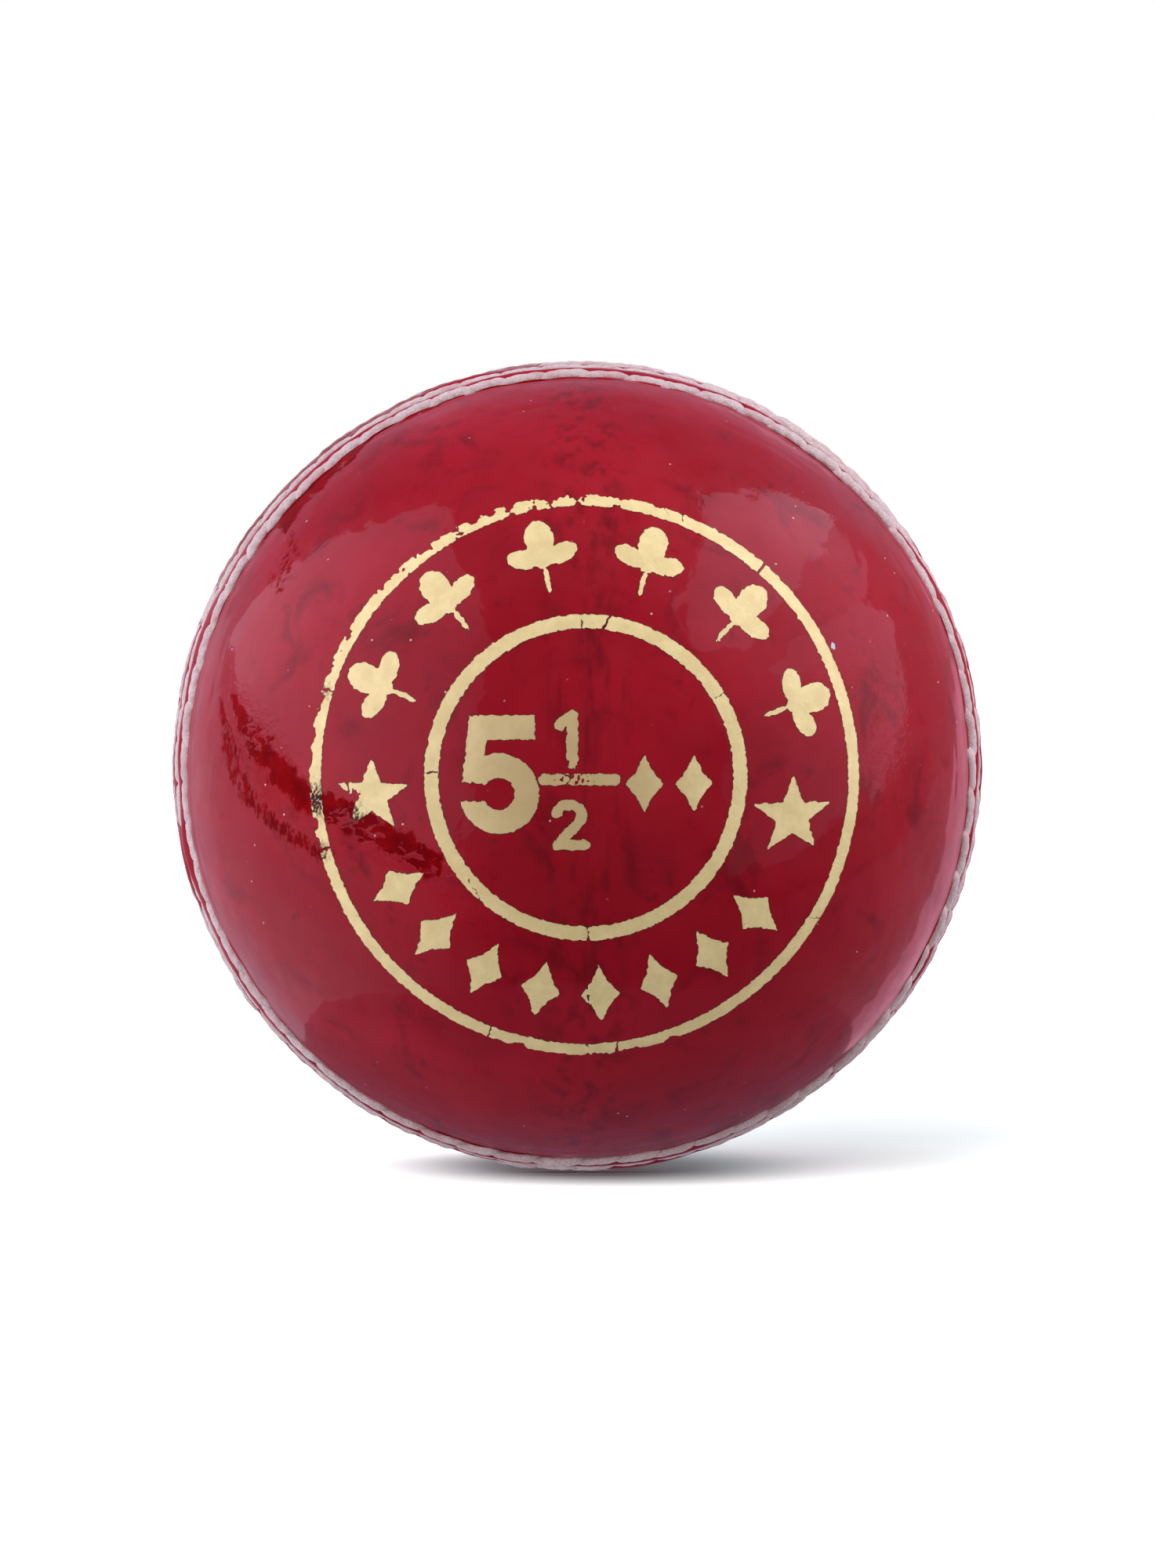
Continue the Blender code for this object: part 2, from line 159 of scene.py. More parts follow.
def star_outline(radius, widen, waist=0.42):
    turn = np.pi / 2 + np.arange(10) * np.pi / 5
    reach = np.where(np.arange(10) % 2, radius * waist, radius)
    return np.stack([widen * reach * np.cos(turn), reach * np.sin(turn)], -1)


def diamond_outline(width, height, hollow=0.43):
    corners = [(1, 0), (hollow, hollow), (0, 1), (-hollow, hollow)]
    corners += [(-u, -v) for u, v in corners]
    return np.array(corners) * (width / 2, height / 2)


def sprig_outline(length, count=96):
    petals = (  # direction from +v, reach as a share of the length, narrowness
        (0.0, 0.58, 3.2),
        (math.radians(72), 0.46, 4.2),
        (math.radians(-72), 0.46, 4.2),
        (math.pi, 0.42, 60.0),
    )
    angle = np.arange(count) * 2 * np.pi / count
    reach = np.full(count, 0.09)
    for direction, share, narrowness in petals:
        reach = np.maximum(reach, share * np.maximum(np.cos(angle - direction), 0) ** narrowness)
    return np.stack([-np.sin(angle), np.cos(angle)], -1) * reach[:, None] * length


def bend(centre, radii, start, end, count=40):
    angle = np.radians(np.linspace(start, end, count))
    return np.stack([centre[0] + radii[0] * np.cos(angle), centre[1] + radii[1] * np.sin(angle)], -1)


def five_outline(width, height, stroke):
    half_u, half_v = width / 2, height / 2
    bowl_at = (0.0, half_u - half_v)
    return np.concatenate([
        [(0.9 * half_u, half_v), (-0.74 * half_u, half_v)],
        [(-0.92 * half_u, bowl_at[1] + 0.3 * half_u)],
        bend(bowl_at, (half_u - stroke, half_u - stroke), 145, -150),
        bend(bowl_at, (half_u, half_u), -168, 112),
        [(-0.29 * half_u, half_v - stroke), (0.9 * half_u, half_v - stroke)],
    ])


def one_line(width, height, stroke):
    half_u, half_v = (width - stroke) / 2, height / 2
    return np.array([(-half_u, half_v * 0.45), (half_u * 0.55, half_v * 0.78), (half_u * 0.55, -half_v)])


def two_line(width, height, stroke):
    half_u, half_v = (width - stroke) / 2, (height - stroke) / 2
    loop = (half_u, half_v * 0.52)
    ends = [(-half_u * 0.9, -half_v), (half_u * 1.2, -half_v)]
    return np.concatenate([bend((0.0, half_v - loop[1]), loop, 165, -30), ends])


def inside_polygon(points, outline):
    """Signed distance to a closed outline, positive inside."""
    nearest = np.full(points.shape[:-1], np.inf)
    inside = np.zeros(points.shape[:-1], bool)
    for a, b in zip(outline, np.roll(outline, -1, axis=0)):
        nearest = np.minimum(nearest, segment_distance(points, a, b))
        crosses = (a[1] > points[..., 1]) != (b[1] > points[..., 1])
        if a[1] != b[1]:
            at = a[0] + (points[..., 1] - a[1]) * (b[0] - a[0]) / (b[1] - a[1])
            inside ^= crosses & (points[..., 0] < at)
    return np.where(inside, nearest, -nearest)


def segment_distance(points, a, b):
    along = b - a
    share = np.clip(((points - a) @ along) / max(along @ along, 1e-12), 0, 1)
    return np.linalg.norm(points - a - share[..., None] * along, axis=-1)


def inside_stroke(points, line, width):
    nearest = np.full(points.shape[:-1], np.inf)
    for a, b in zip(line, line[1:]):
        nearest = np.minimum(nearest, segment_distance(points, a, b))
    return width / 2 - nearest


def inside_ring(points, outer_arc, shift, squeeze):
    """A ring a little off the pole and out of round, as the die left it."""
    reach = np.linalg.norm((points - (shift, 0.0)) / np.array(squeeze), axis=-1)
    return RING_WIDTH / 2 - np.abs(reach - outer_arc + RING_WIDTH / 2)


BAND_ARC = 19.9  # from the pole to the middle of the band between the two rings
STARS = (  # distance from the pole, angle round it, size and how much wider than tall
    (19.65, math.radians(185.0), 3.4, 1.13),
    (19.10, math.radians(-10.8), 3.7, 1.11),
)
SPRIG_ANGLES = [math.radians(156.0 - 27.4 * i) for i in range(6)]
SPRIG_LENGTH = 7.4
DIAMOND_ANGLES = [math.radians(210.5 + 15.8 * i) for i in range(8)]
DIAMOND_SIZE = (3.6, 6.0)


def polar(reach, angle):
    return reach * math.cos(angle), reach * math.sin(angle)


def filled(outline, at, window, turn=0.0):
    """A filled mark: its centre, the reach of the window round it, and its field."""
    c, s = math.cos(turn), math.sin(turn)
    placed = outline @ np.array([[c, s], [-s, c]]) + at
    return at, window, lambda points: inside_polygon(points, placed)


def drawn(line, at, window, width):
    """The same for a mark drawn with one stroke."""
    placed = line + at
    return at, window, lambda points: inside_stroke(points, placed, width)


def stamp_pieces():
    """Each piece of foil but the rings: its CAD nodes and its marks."""
    stars = [filled(star_outline(r, widen), polar(reach, a), r * widen) for reach, a, r, widen in STARS]
    sprig, diamond = sprig_outline(SPRIG_LENGTH), diamond_outline(*DIAMOND_SIZE)
    upright = math.pi / 2
    sprigs = [filled(sprig, polar(BAND_ARC, a), SPRIG_LENGTH * 0.6, a - upright) for a in SPRIG_ANGLES]
    diamonds = [filled(diamond, polar(BAND_ARC, a), 3.0, a - upright) for a in DIAMOND_ANGLES]
    units = [filled(diamond_outline(3.4, 5.0), (u, -0.5), 2.6) for u in (4.9, 9.3)]
    numerals = [
        filled(five_outline(7.0, 10.3, 2.1), (-7.7, 0.3), 5.4),
        drawn(one_line(2.3, 4.6, 1.0), (-1.7, 3.6), 2.9, 1.0),
        drawn(two_line(3.1, 4.4, 0.9), (-1.6, -4.0), 2.8, 0.9),
        drawn(np.array([(-3.1, 0.0), (3.1, 0.0)]), (-0.7, -0.1), 3.7, 0.95),
    ]
    return {
        "gold_stars": (["stamp_star_left", "stamp_star_right"], stars),
        "gold_sprigs": ([f"stamp_sprig_{i}" for i in range(1, 7)], sprigs),
        "gold_diamonds": ([f"stamp_diamond_{i}" for i in range(1, 9)], diamonds),
        "gold_unit_marks": (["stamp_unit_mark_1", "stamp_unit_mark_2"], units),
        "gold_numerals": (["stamp_five", "stamp_one", "stamp_two", "stamp_fraction_bar"], numerals),
    }


# ------ the leather's surface


def stitch_turns(side, row):
    """The angle round the seam at which each stitch of a row has its middle."""
    rng = np.random.default_rng(100 * (side > 0) + 10 * ROWS.index(row))
    start = rng.uniform(0, 1)
    jitter = rng.normal(0, 0.05, STITCHES)
    return (np.arange(STITCHES) + start + jitter) * 2 * np.pi / STITCHES


def row_height(row, phi):
    """How high a row of stitching stands over the seam; it isn't sewn quite straight."""
    at = ROW_HEIGHT[row]
    return at + 0.10 * np.sin(5 * phi + at) + 0.06 * np.sin(13 * phi + 2 * at)


def leather_radius(theta, phi, side, quarter_line):
    """Radius of the leather, in millimetres. quarter_line is the distance to the closing seam."""
    height = LEATHER_R * np.cos(theta)
    points = on_sphere(theta, phi, LEATHER_R) * (1, 1, side)
    outer = ROW_HEIGHT["outer"]
    radius = LEATHER_R + (RIDGE_R - LEATHER_R) * smooth(outer + 2.2, outer - 0.4, height)
    fade = smooth(0.0, 2.0, height)
    radius = radius + 0.07 * waves(points, 26, 1) + 0.018 * waves(points, 8.5, 2) * fade
    radius = radius + 0.005 * waves(points, 2.6, 3)
    for row in ROWS:
        radius = radius - row_groove(height, phi, side, row)
    radius = radius + 0.10 * bell(height, 0.9) - 0.35 * bell(height, 0.22)
    for upper, lower in zip(ROWS, ROWS[1:]):
        between = (ROW_HEIGHT[upper] + ROW_HEIGHT[lower]) / 2
        rise = np.clip(0.09 + 0.08 * waves(points, 12, 7 + ROWS.index(upper)), 0.0, 0.26)
        radius = radius + rise * bell(height - between, 0.62)
    radius = radius - wrinkle_depth(height, phi, points)
    seam_depth = 0.022 + 0.016 * waves(points, 4, 6)
    radius = radius - seam_depth * bell(quarter_line, 0.16) * smooth(8.6, 10.5, height)
    radius = radius + 0.012 * bell(quarter_line - 0.7, 0.6)
    return radius


def wrinkle_depth(height, phi, points):
    """Long soft creases that follow the seam, where the leather was drawn over the core."""
    depth = np.zeros_like(height)
    for k, (away, bow, turns) in enumerate(((2.6, 0.7, 3), (4.4, 1.1, 2), (6.8, 1.6, 2))):
        off = height - ROW_HEIGHT["outer"] - away - bow * np.sin(turns * phi + 1.7 * k)
        present = smooth(0.35, 1.4, waves(points, 19, 50 + k))
        depth = depth + 0.020 * present * bell(off, 0.42)
    return depth


def row_groove(height, phi, side, row):
    """How deep a row of stitching sits, with a pucker where the thread goes into the leather."""
    off = height - row_height(row, phi)
    depth = 0.50 * bell(off, 0.70)
    turns = stitch_turns(side, row)
    pitch = 2 * np.pi / STITCHES
    hole = (phi - turns[0]) / pitch - 0.5
    along = (hole - np.round(hole)) * pitch * LEATHER_R
    for edge in (-1, 1):
        depth = depth + 0.12 * bell(along + edge * 0.5, 0.55) * bell(off - edge * 0.65, 0.40)
    depth = depth + 0.07 * bell(along, 0.7) * np.exp(-np.abs(off))
    if row == "outer":
        points = on_sphere(np.full_like(phi, 1.3), phi, LEATHER_R)
        crease = smooth(-0.3, 0.9, waves(points, 30, 11) + 0.6 * waves(points, 7, 12))
        depth = depth + (0.05 + 0.22 * crease) * bell(off - 1.25 - 0.12 * np.sin(9 * phi), 0.17)
    return depth


def groove_shade_and_streaks(theta, phi, side):
    """Painted shade in the groove beside the outer row, wider and unbroken on the upper left of the front,
    and the deep streaks: 0 to 1.
    """
    height = LEATHER_R * np.cos(theta)
    points = on_sphere(theta, phi, LEATHER_R) * (1, 1, side)
    off = height - ROW_HEIGHT["outer"] - 0.10 * np.sin(5 * phi) - 0.85
    broken = smooth(-0.2, 0.8, waves(points, 12, 13) + 0.5 * waves(points, 4, 14))
    width = 0.50 + 0.30 * smooth(-0.5, 1.5, waves(points, 15, 15))
    if side > 0:
        turn = np.degrees(phi) % 360
        swell = smooth(100, 122, turn) * smooth(150, 138, turn)
        width = width + swell * (0.55 + 0.30 * waves(points, 3.5, 16))
        broken = np.maximum(broken, swell)
    beside = (0.15 + 0.85 * broken) * smooth(width * 1.6, width * 0.4, off) * smooth(-1.8, -0.9, off)
    if side > 0:
        beside = np.maximum(beside, deep_streaks(points))
    return np.clip(beside, 0, 1)


PUCKERED = ((-21.0, -4.5, 4.6, 1), (-28.5, 3.5, 4.0, 1), (-14.5, -8.5, 3.6, 1), (26.0, 3.0, 3.4, 1),
            (23.5, 8.0, 3.0, 1))
DEEP_STREAKS = (  # half width, how strong, and the line it follows across the stamped cup
    (1.15, 1.0, ((-30.6, 6.6), (-29.8, 4.8), (-28.8, 3.0), (-27.4, 1.0), (-24.7, -1.7), (-21.9, -3.0),
                 (-16.6, -5.6), (-13.6, -7.4))),
    (0.80, 0.62, ((-31.8, 6.4), (-31.2, 3.0), (-30.3, -0.3), (-29.0, -2.5), (-26.9, -4.5), (-22.6, -6.9))),
    (0.48, 0.90, ((-17.4, 30.1), (-21.1, 27.3), (-23.6, 24.9), (-25.4, 23.0), (-26.2, 21.5))),
    (1.00, 0.50, ((-25.8, 22.4), (-25.4, 19.4), (-26.8, 16.6))),
)


def deep_streaks(points):
    """Creases where the lacquer is rubbed away and only the red dye shows: 0 to 1."""
    ragged = 0.16 * waves(points, 1.7, 61) + 0.10 * waves(points, 0.7, 62)
    found = np.zeros(points.shape[:-1])
    for half, strength, line in DEEP_STREAKS:
        line = np.array(line)
        near = half - inside_stroke(points[..., :2], line, 2 * half)
        taper = 0.25 + 0.75 * smooth(0, 5, np.hypot(*(points[..., :2] - line[0]).T).T)
        shape = smooth(1.75, 0.35, near / (half * taper) + ragged)
        found = np.maximum(found, strength * shape)
    return found


def crinkle(points):
    """How strongly the lacquer has puckered: 0 to 1."""
    return np.clip(spotted(points, PUCKERED), 0, 1)


# ------ meshes


def add(name, data):
    obj = bpy.data.objects.new(name, data)
    bpy.context.scene.collection.objects.link(obj)
    return obj


def mesh_object(name, verts, faces, material, sharp_angle=None, attributes=None):
    """A mesh object from ball-axis points; faces is a list of (n, 3) or (n, 4) index arrays."""
    mesh = bpy.data.meshes.new(name)
    faces = [np.asarray(f, np.int32) for f in faces if len(f)]
    loops = np.concatenate([f.ravel() for f in faces])
    sizes = np.concatenate([np.full(len(f), f.shape[1], np.int32) for f in faces])
    starts = np.concatenate([[0], np.cumsum(sizes)[:-1]]).astype(np.int32)
    mesh.vertices.add(len(verts))
    mesh.vertices.foreach_set("co", to_world(verts).astype(np.float32).ravel())
    mesh.loops.add(len(loops))
    mesh.loops.foreach_set("vertex_index", loops)
    mesh.polygons.add(len(sizes))
    mesh.polygons.foreach_set("loop_start", starts)
    mesh.update(calc_edges=True)
    mesh.validate()
    for key, values in (attributes or {}).items():
        mesh.attributes.new(key, "FLOAT", "POINT").data.foreach_set("value", values.astype(np.float32))
    mesh.shade_smooth()
    if sharp_angle is not None:
        mesh.set_sharp_from_angle(angle=math.radians(sharp_angle))
    mesh.materials.append(material)
    return add(name, mesh)


def grid_faces(rows, columns, wrap=False):
    """Quads of a grid of points stored row by row."""
    i, j = np.meshgrid(np.arange(rows - 1), np.arange(columns if wrap else columns - 1), indexing="ij")
    i, j = i.ravel(), j.ravel()
    k = (j + 1) % columns
    a, b = i * columns + j, (i + 1) * columns + j
    return np.stack([a, b, (i + 1) * columns + k, i * columns + k], -1)


def mark_piece(piece, nodes):
    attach(piece, "root")
    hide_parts(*nodes)


# ------ leather quarters


def outer_angles():
    """Angles from the pole for the rows of the grid: coarse on the crown, fine on the seam."""
    crown = np.arccos((ROW_HEIGHT["outer"] + 3.4) / LEATHER_R)
    rim = np.arccos(CUP_GAP / 2 / LEATHER_R)
    return np.concatenate([np.linspace(0, crown, 150, endpoint=False)[1:], np.linspace(crown, rim, 92)])


def make_quarter(name, side, facing, material):
    """One leather quarter: outer skin, turned-in rim, flesh side and the two cut edges.

    facing is the angle round the pole that the middle of the quarter points to."""
    columns = 388  # keeps a quarter under 200,000 triangles
    phi = facing + np.linspace(-np.pi / 2, np.pi / 2, columns)
    theta = outer_angles()
    t, p = np.meshgrid(theta, phi, indexing="ij")
    line = LEATHER_R * np.sin(t) * np.abs(np.cos(p - facing))
    outer = on_sphere(t, p, leather_radius(t, p, side, line))
    inside_t = np.concatenate([np.full(4, theta[-1]), np.linspace(theta[-1], 0, 14)[1:-1]])
    inside_r = np.concatenate([np.linspace(RIM_R, LEATHER_IN_R, 4), np.full(12, LEATHER_IN_R)])
    inside = on_sphere(*np.meshgrid(inside_t, phi, indexing="ij"), inside_r[:, None])
    grid = np.concatenate([outer, inside])
    rows = len(grid)
    pole = leather_radius(np.zeros(1), np.zeros(1) + facing, side, np.zeros(1))[0]
    verts = np.concatenate([grid.reshape(-1, 3), [[0, 0, pole], [0, 0, LEATHER_IN_R]]])
    verts = verts + QUARTER_GAP / 2 * np.array([math.cos(facing), math.sin(facing), 0])
    top, bottom = len(verts) - 2, len(verts) - 1
    j = np.arange(columns - 1)
    last = (rows - 1) * columns
    caps = [np.stack([np.full_like(j, top), j, j + 1], -1)]
    caps.append(np.stack([np.full_like(j, bottom), last + j + 1, last + j], -1))
    edges = []
    for column, flip in ((0, False), (columns - 1, True)):
        chain_out = [top] + [i * columns + column for i in range(len(theta))]
        chain_in = [bottom] + [i * columns + column for i in range(rows - 1, len(theta) - 1, -1)]
        edges.append(zipper(chain_out, chain_in, flip))
    faces = [grid_faces(rows, columns)] + caps + edges
    if side < 0:
        verts = verts * (1, 1, -1)
        faces = [f[:, ::-1] for f in faces]
    crease = np.zeros(len(verts))
    crease[: t.size] = groove_shade_and_streaks(t, p, side).ravel()
    marks = {"crease": crease, "crinkle": crinkle(verts) * (verts[:, 2] > 0)}
    return mesh_object(name, verts, faces, material, sharp_angle=50, attributes=marks)


def zipper(chain_a, chain_b, flip):
    """Triangles between two chains of vertices that start side by side and end together."""
    faces, i, j = [], 0, 0
    while i < len(chain_a) - 1 or j < len(chain_b) - 1:
        ahead = (i + 1) / len(chain_a) <= (j + 1) / len(chain_b)
        if j == len(chain_b) - 1 or (ahead and i < len(chain_a) - 1):
            faces.append((chain_a[i], chain_b[j], chain_a[i + 1]))
            i += 1
        else:
            faces.append((chain_a[i], chain_b[j], chain_b[j + 1]))
            j += 1
    faces = np.array(faces)
    return faces[:, ::-1] if flip else faces


def make_leather(material):
    quarters = (
        ("front_right", 1, 0.0),
        ("front_left", 1, math.pi),
        ("back_upper", -1, math.pi / 2),
        ("back_lower", -1, -math.pi / 2),
    )
    for name, side, facing in quarters:
        piece = make_quarter("leather_" + name, side, facing, material)
        mark_piece(piece, ["leather_quarter_" + name])


# ------ stitching


def stitch_faces(along, around):
    """Quads and end caps of every stitch in a row; each stitch has its two tips last."""
    j = np.arange(around)
    n = (j + 1) % around
    end, tip = (along - 1) * around, along * around
    near_cap = np.stack([np.full_like(j, tip), n, j], -1)
    far_cap = np.stack([np.full_like(j, tip + 1), end + j, end + n], -1)
    firsts = (np.arange(STITCHES) * (tip + 2))[:, None, None]
    quads = (firsts + grid_faces(along, around, wrap=True)).reshape(-1, 4)
    return quads, np.concatenate([(firsts + cap).reshape(-1, 3) for cap in (near_cap, far_cap)])


def make_row(name, side, row, material):
    """A row of slanting, overlapping stitches of twisted thread."""
    along_count, around_count = 26, 20
    turns = stitch_turns(side, row)
    rng = np.random.default_rng(700 + 10 * ROWS.index(row) + (side > 0))
    seat_r = CREST_R - 0.10 - STITCH_HALF_HEIGHT
    row_r = math.sqrt(seat_r**2 - ROW_HEIGHT[row] ** 2)
    s = np.linspace(-1, 1, along_count)[:, None]  # along the stitch
    around = np.arange(around_count) * 2 * np.pi / around_count
    verts, dye_stain_and_shade = [], []
    for k in range(STITCHES):
        gap = (turns[(k + 1) % STITCHES] - turns[k - 1]) % (2 * np.pi) / 2
        half_length = gap * row_r / 2 * STITCH_OVERLAP * rng.uniform(0.96, 1.05)
        slant = STITCH_SLANT * rng.uniform(0.7, 1.35)
        width = STITCH_HALF_WIDTH * rng.uniform(0.88, 1.1)
        thick = STITCH_HALF_HEIGHT * rng.uniform(0.92, 1.08)
        turn = math.degrees(turns[k]) % 360
        sunk = smooth(212, 242, turn) * smooth(330, 300, turn) if row == "outer" and side > 0 else 0.0
        width = width * (1 - 0.22 * sunk)
        lateral = side * slant * np.sin(s * np.pi / 2) + rng.normal(0, 0.04)
        lift = 0.025 * rng.normal() - 0.42 * np.abs(s) ** 4.5 + 0.07 * s
        twist = 3.6 * s * side + rng.uniform(0, 6.28)
        body = (1 - 0.50 * np.abs(s) ** 6) * (0.90 + 0.12 * np.abs(np.cos(1.5 * (around + twist))))
        radial = np.cos(around) * thick * body
        radius = seat_r + lift + radial
        high = row_height(row, turns[k]) + lateral + np.sin(around) * width * body
        across = np.sqrt(np.maximum(radius**2 - high**2, 0))
        phi = turns[k] + s * half_length / row_r
        ring = np.stack([across * np.cos(phi), across * np.sin(phi), side * high], -1)
        verts += [ring.reshape(-1, 3), [ring[0].mean(0), ring[-1].mean(0)]]
        # deep is the underside of the thread, where it lies against the leather: it and the stitch ends are
        # darkened as painted shade, the rest is red staining from the leather
        deep = smooth(0.35, -0.35, (radial + 0.3 * lift) / thick)
        wear_and_shade = 0.15 + 0.22 * sunk + 0.12 * rng.normal() + 0.45 * np.abs(s) ** 8 + 0.5 * deep
        wear_and_shade = np.clip(wear_and_shade, 0, 1)
        if row == "inner" and side > 0:
            wear_and_shade = np.maximum(wear_and_shade, smooth(84, 104, turn) * smooth(158, 146, turn))
        dye_stain_and_shade += [wear_and_shade.ravel(), [1.0, 1.0]]
    faces = stitch_faces(along_count, around_count)
    if side > 0:
        faces = [f[:, ::-1] for f in faces]
    marks = {"dye_stain_and_shade": np.concatenate(dye_stain_and_shade)}
    return mesh_object(name, np.concatenate(verts), faces, material, attributes=marks)


def make_stitching(material):
    for side_name, side in SIDES:
        for row in ROWS:
            piece = make_row(f"stitching_{side_name}_{row}", side, row, material)
            mark_piece(piece, [f"seam_thread_{side_name}_{row}"])


# ------ gold foil


def clip_sheet(points, field, wrap=False):
    """The part of a grid of plan points where the field is positive: (points, triangles)."""
    rows, columns = field.shape
    cells = grid_faces(rows, columns, wrap=wrap)
    tris = np.concatenate([cells[:, [0, 1, 2]], cells[:, [0, 2, 3]]])
    points, field = points.reshape(-1, 2), field.ravel()
    kept = (field > 0)[tris]
    count = kept.sum(1)
    whole = tris[count == 3]
    pieces, pairs = [whole], []
    base = len(points)

    def rolled(which, mask):
        chosen, start = tris[which], np.argmax(mask[which], axis=1)
        return np.stack([chosen[np.arange(len(chosen)), (start + k) % 3] for k in range(3)], -1)

    single = rolled(count == 1, kept)
    double = rolled(count == 2, ~kept)
    for p, q, r in (single.T, double.T):
        pairs += [np.stack([p, q], -1), np.stack([p, r], -1)]
    keys = np.sort(np.concatenate(pairs), axis=1)
    unique, index = np.unique(keys, axis=0, return_inverse=True)
    index = index.reshape(-1) + base
    sizes = np.cumsum([0] + [len(p) for p in pairs])
    pq1, pr1, pq2, pr2 = (index[a:b] for a, b in zip(sizes, sizes[1:]))
    pieces.append(np.stack([single[:, 0], pq1, pr1], -1))
    pieces.append(np.stack([pq2, double[:, 1], double[:, 2]], -1))
    pieces.append(np.stack([pq2, double[:, 2], pr2], -1))
    fa, fb = field[unique[:, 0]], field[unique[:, 1]]
    share = np.clip(fa / (fa - fb), 0.02, 0.98)[:, None]
    crossing = points[unique[:, 0]] * (1 - share) + points[unique[:, 1]] * share
    every = np.concatenate([points, crossing])
    faces = np.concatenate(pieces)
    used, back = np.unique(faces, return_inverse=True)
    return every[used], back.reshape(-1, 3)


def thin_solid(plan, tris, lower, upper):
    """Two skins on the leather joined by a wall round every edge: (verts, faces)."""
    reach = np.linalg.norm(plan, axis=1)
    theta, phi = reach / LEATHER_R, np.arctan2(plan[:, 1], plan[:, 0])
    radius = leather_radius(theta, phi, 1, np.abs(LEATHER_R * np.sin(theta) * np.cos(phi)))
    verts = np.concatenate([on_sphere(theta, phi, radius + upper), on_sphere(theta, phi, radius + lower)])
    count = len(plan)
    corners = on_sphere(theta, phi, radius)[tris]
    normal = np.cross(corners[:, 1] - corners[:, 0], corners[:, 2] - corners[:, 0])
    tris = np.where((normal[:, 2] < 0)[:, None], tris[:, ::-1], tris)
    edges = np.concatenate([tris[:, [0, 1]], tris[:, [1, 2]], tris[:, [2, 0]]])
    _, index, uses = np.unique(np.sort(edges, 1), axis=0, return_inverse=True, return_counts=True)
    border = edges[uses[index.reshape(-1)] == 1]
    walls = np.stack([border[:, 0], border[:, 0] + count, border[:, 1] + count, border[:, 1]], -1)
    return verts, [tris, tris[:, ::-1] + count, walls]


PATCHY = (  # where foil is worn through: place, radius, strength
    (-25.6, -2.4, 1.9, 0.75),
    (-21.9, -4.0, 1.1, 0.95),
    (-21.35, -1.80, 0.62, 2.2),
    (-1.0, 0.1, 2.2, 0.8),
    (-24.9, 8.2, 0.9, 0.9),
    (-25.2, -7.3, 0.9, 0.9),
)
# spots where the foil is darkened, as tarnished foil and as a painted dark reflection: place, radius,
# strength
TARNISH_AND_REFLECTION_SPOTS = (
    (-25.6, -2.4, 1.5, 1.2),
    (-21.8, -3.9, 1.2, 1.5),
    (-24.9, 8.0, 0.9, 0.6),
    (-25.1, -7.2, 0.9, 0.7),
)
CRACKS = (  # start, end and half width
    ((1.4, 13.0), (2.2, 14.6), 0.10),
    ((-3.0, 24.6), (-3.7, 27.2), 0.13),
    ((-12.0, 23.0), (-13.0, 25.2), 0.10),
    ((7.9, 24.6), (7.2, 27.2), 0.06),
    ((9.4, 24.0), (9.3, 26.4), 0.05),
    ((-23.4, 7.6), (-26.4, 8.9), 0.15),
    ((-22.35, 0.1), (-22.00, -1.5), 0.13),
    ((-15.2, 0.2), (-12.6, 0.6), 0.08),
    ((3.4, -24.4), (2.9, -26.8), 0.10),
    ((-8.6, -23.2), (-9.4, -25.4), 0.09),
    ((16.2, 18.9), (17.6, 20.8), 0.13),
    ((-26.8, -7.8), (-23.8, -6.6), 0.16),
    ((11.3, 7.0), (12.7, 7.9), 0.05),
    ((-10.6, -8.6), (-9.6, -10.8), 0.05),
    ((21.0, -13.2), (23.0, -14.2), 0.06),
)


def wear(points):
    """How the foil's edges waver and are rubbed back, and a field that is negative in its holes."""
    reach = np.linalg.norm(points, axis=-1)
    turn = np.degrees(np.arctan2(points[..., 1], points[..., 0])) % 360
    edge = 0.035 * waves(points, 0.9, 21) + 0.022 * waves(points, 0.35, 22)
    flaky = smooth(60, 95, turn) * smooth(215, 175, turn) * smooth(25.2, 26.1, reach)
    flaky = flaky + 0.6 * smooth(240, 262, turn) * smooth(300, 280, turn) * smooth(25.5, 26.2, reach)
    rubbed = flaky * (0.36 * waves(points, 2.4, 23) + 0.15 * waves(points, 0.7, 24) + 0.10)
    patchy = spotted(points, PATCHY)
    speckle = 0.95 - patchy + 0.40 * waves(points, 0.6, 25) * np.minimum(patchy + 0.25, 1)
    speckle = speckle + 0.25 * waves(points, 0.3, 26) * np.minimum(patchy + 0.25, 1)
    pinholes = 3.9 - 0.8 * waves(points, 0.55, 27) - 0.8 * waves(points, 2.4, 28)
    return edge, rubbed, np.minimum(speckle, pinholes) * 0.5


def cracks(points):
    """Distance to the nearest crack, less its half width: negative inside a crack."""
    u, v = points[..., 0], points[..., 1]
    wobble = 0.10 * waves(points, 1.6, 31) + 0.05 * waves(points, 0.5, 32)
    fine = np.abs(u + 0.2 + 0.7 * wobble + 0.02 * v) - 0.055 - 0.035 * waves(points, 1.1, 33)
    found = np.where(np.abs(v) > 12.0, fine, 9.0)
    for a, b, half in CRACKS:
        bent = points + (0.9 * wobble)[..., None]
        found = np.minimum(found, segment_distance(bent, np.array(a), np.array(b)) - half)
    return found


def tarnish_and_dark_reflection(points):
    """Where the foil is dark and mottled: tarnished foil, and a painted dark reflection on the left of the
    outer ring: 0 to 1.
    """
    found = spotted(points, TARNISH_AND_REFLECTION_SPOTS)
    mottled = 0.45 + 0.5 * waves(points, 0.42, 71) + 0.2 * waves(points, 1.1, 72)
    return np.clip(found * np.clip(mottled + 0.5 * (found - 0.5), 0, 1) * 1.5, 0, 1)


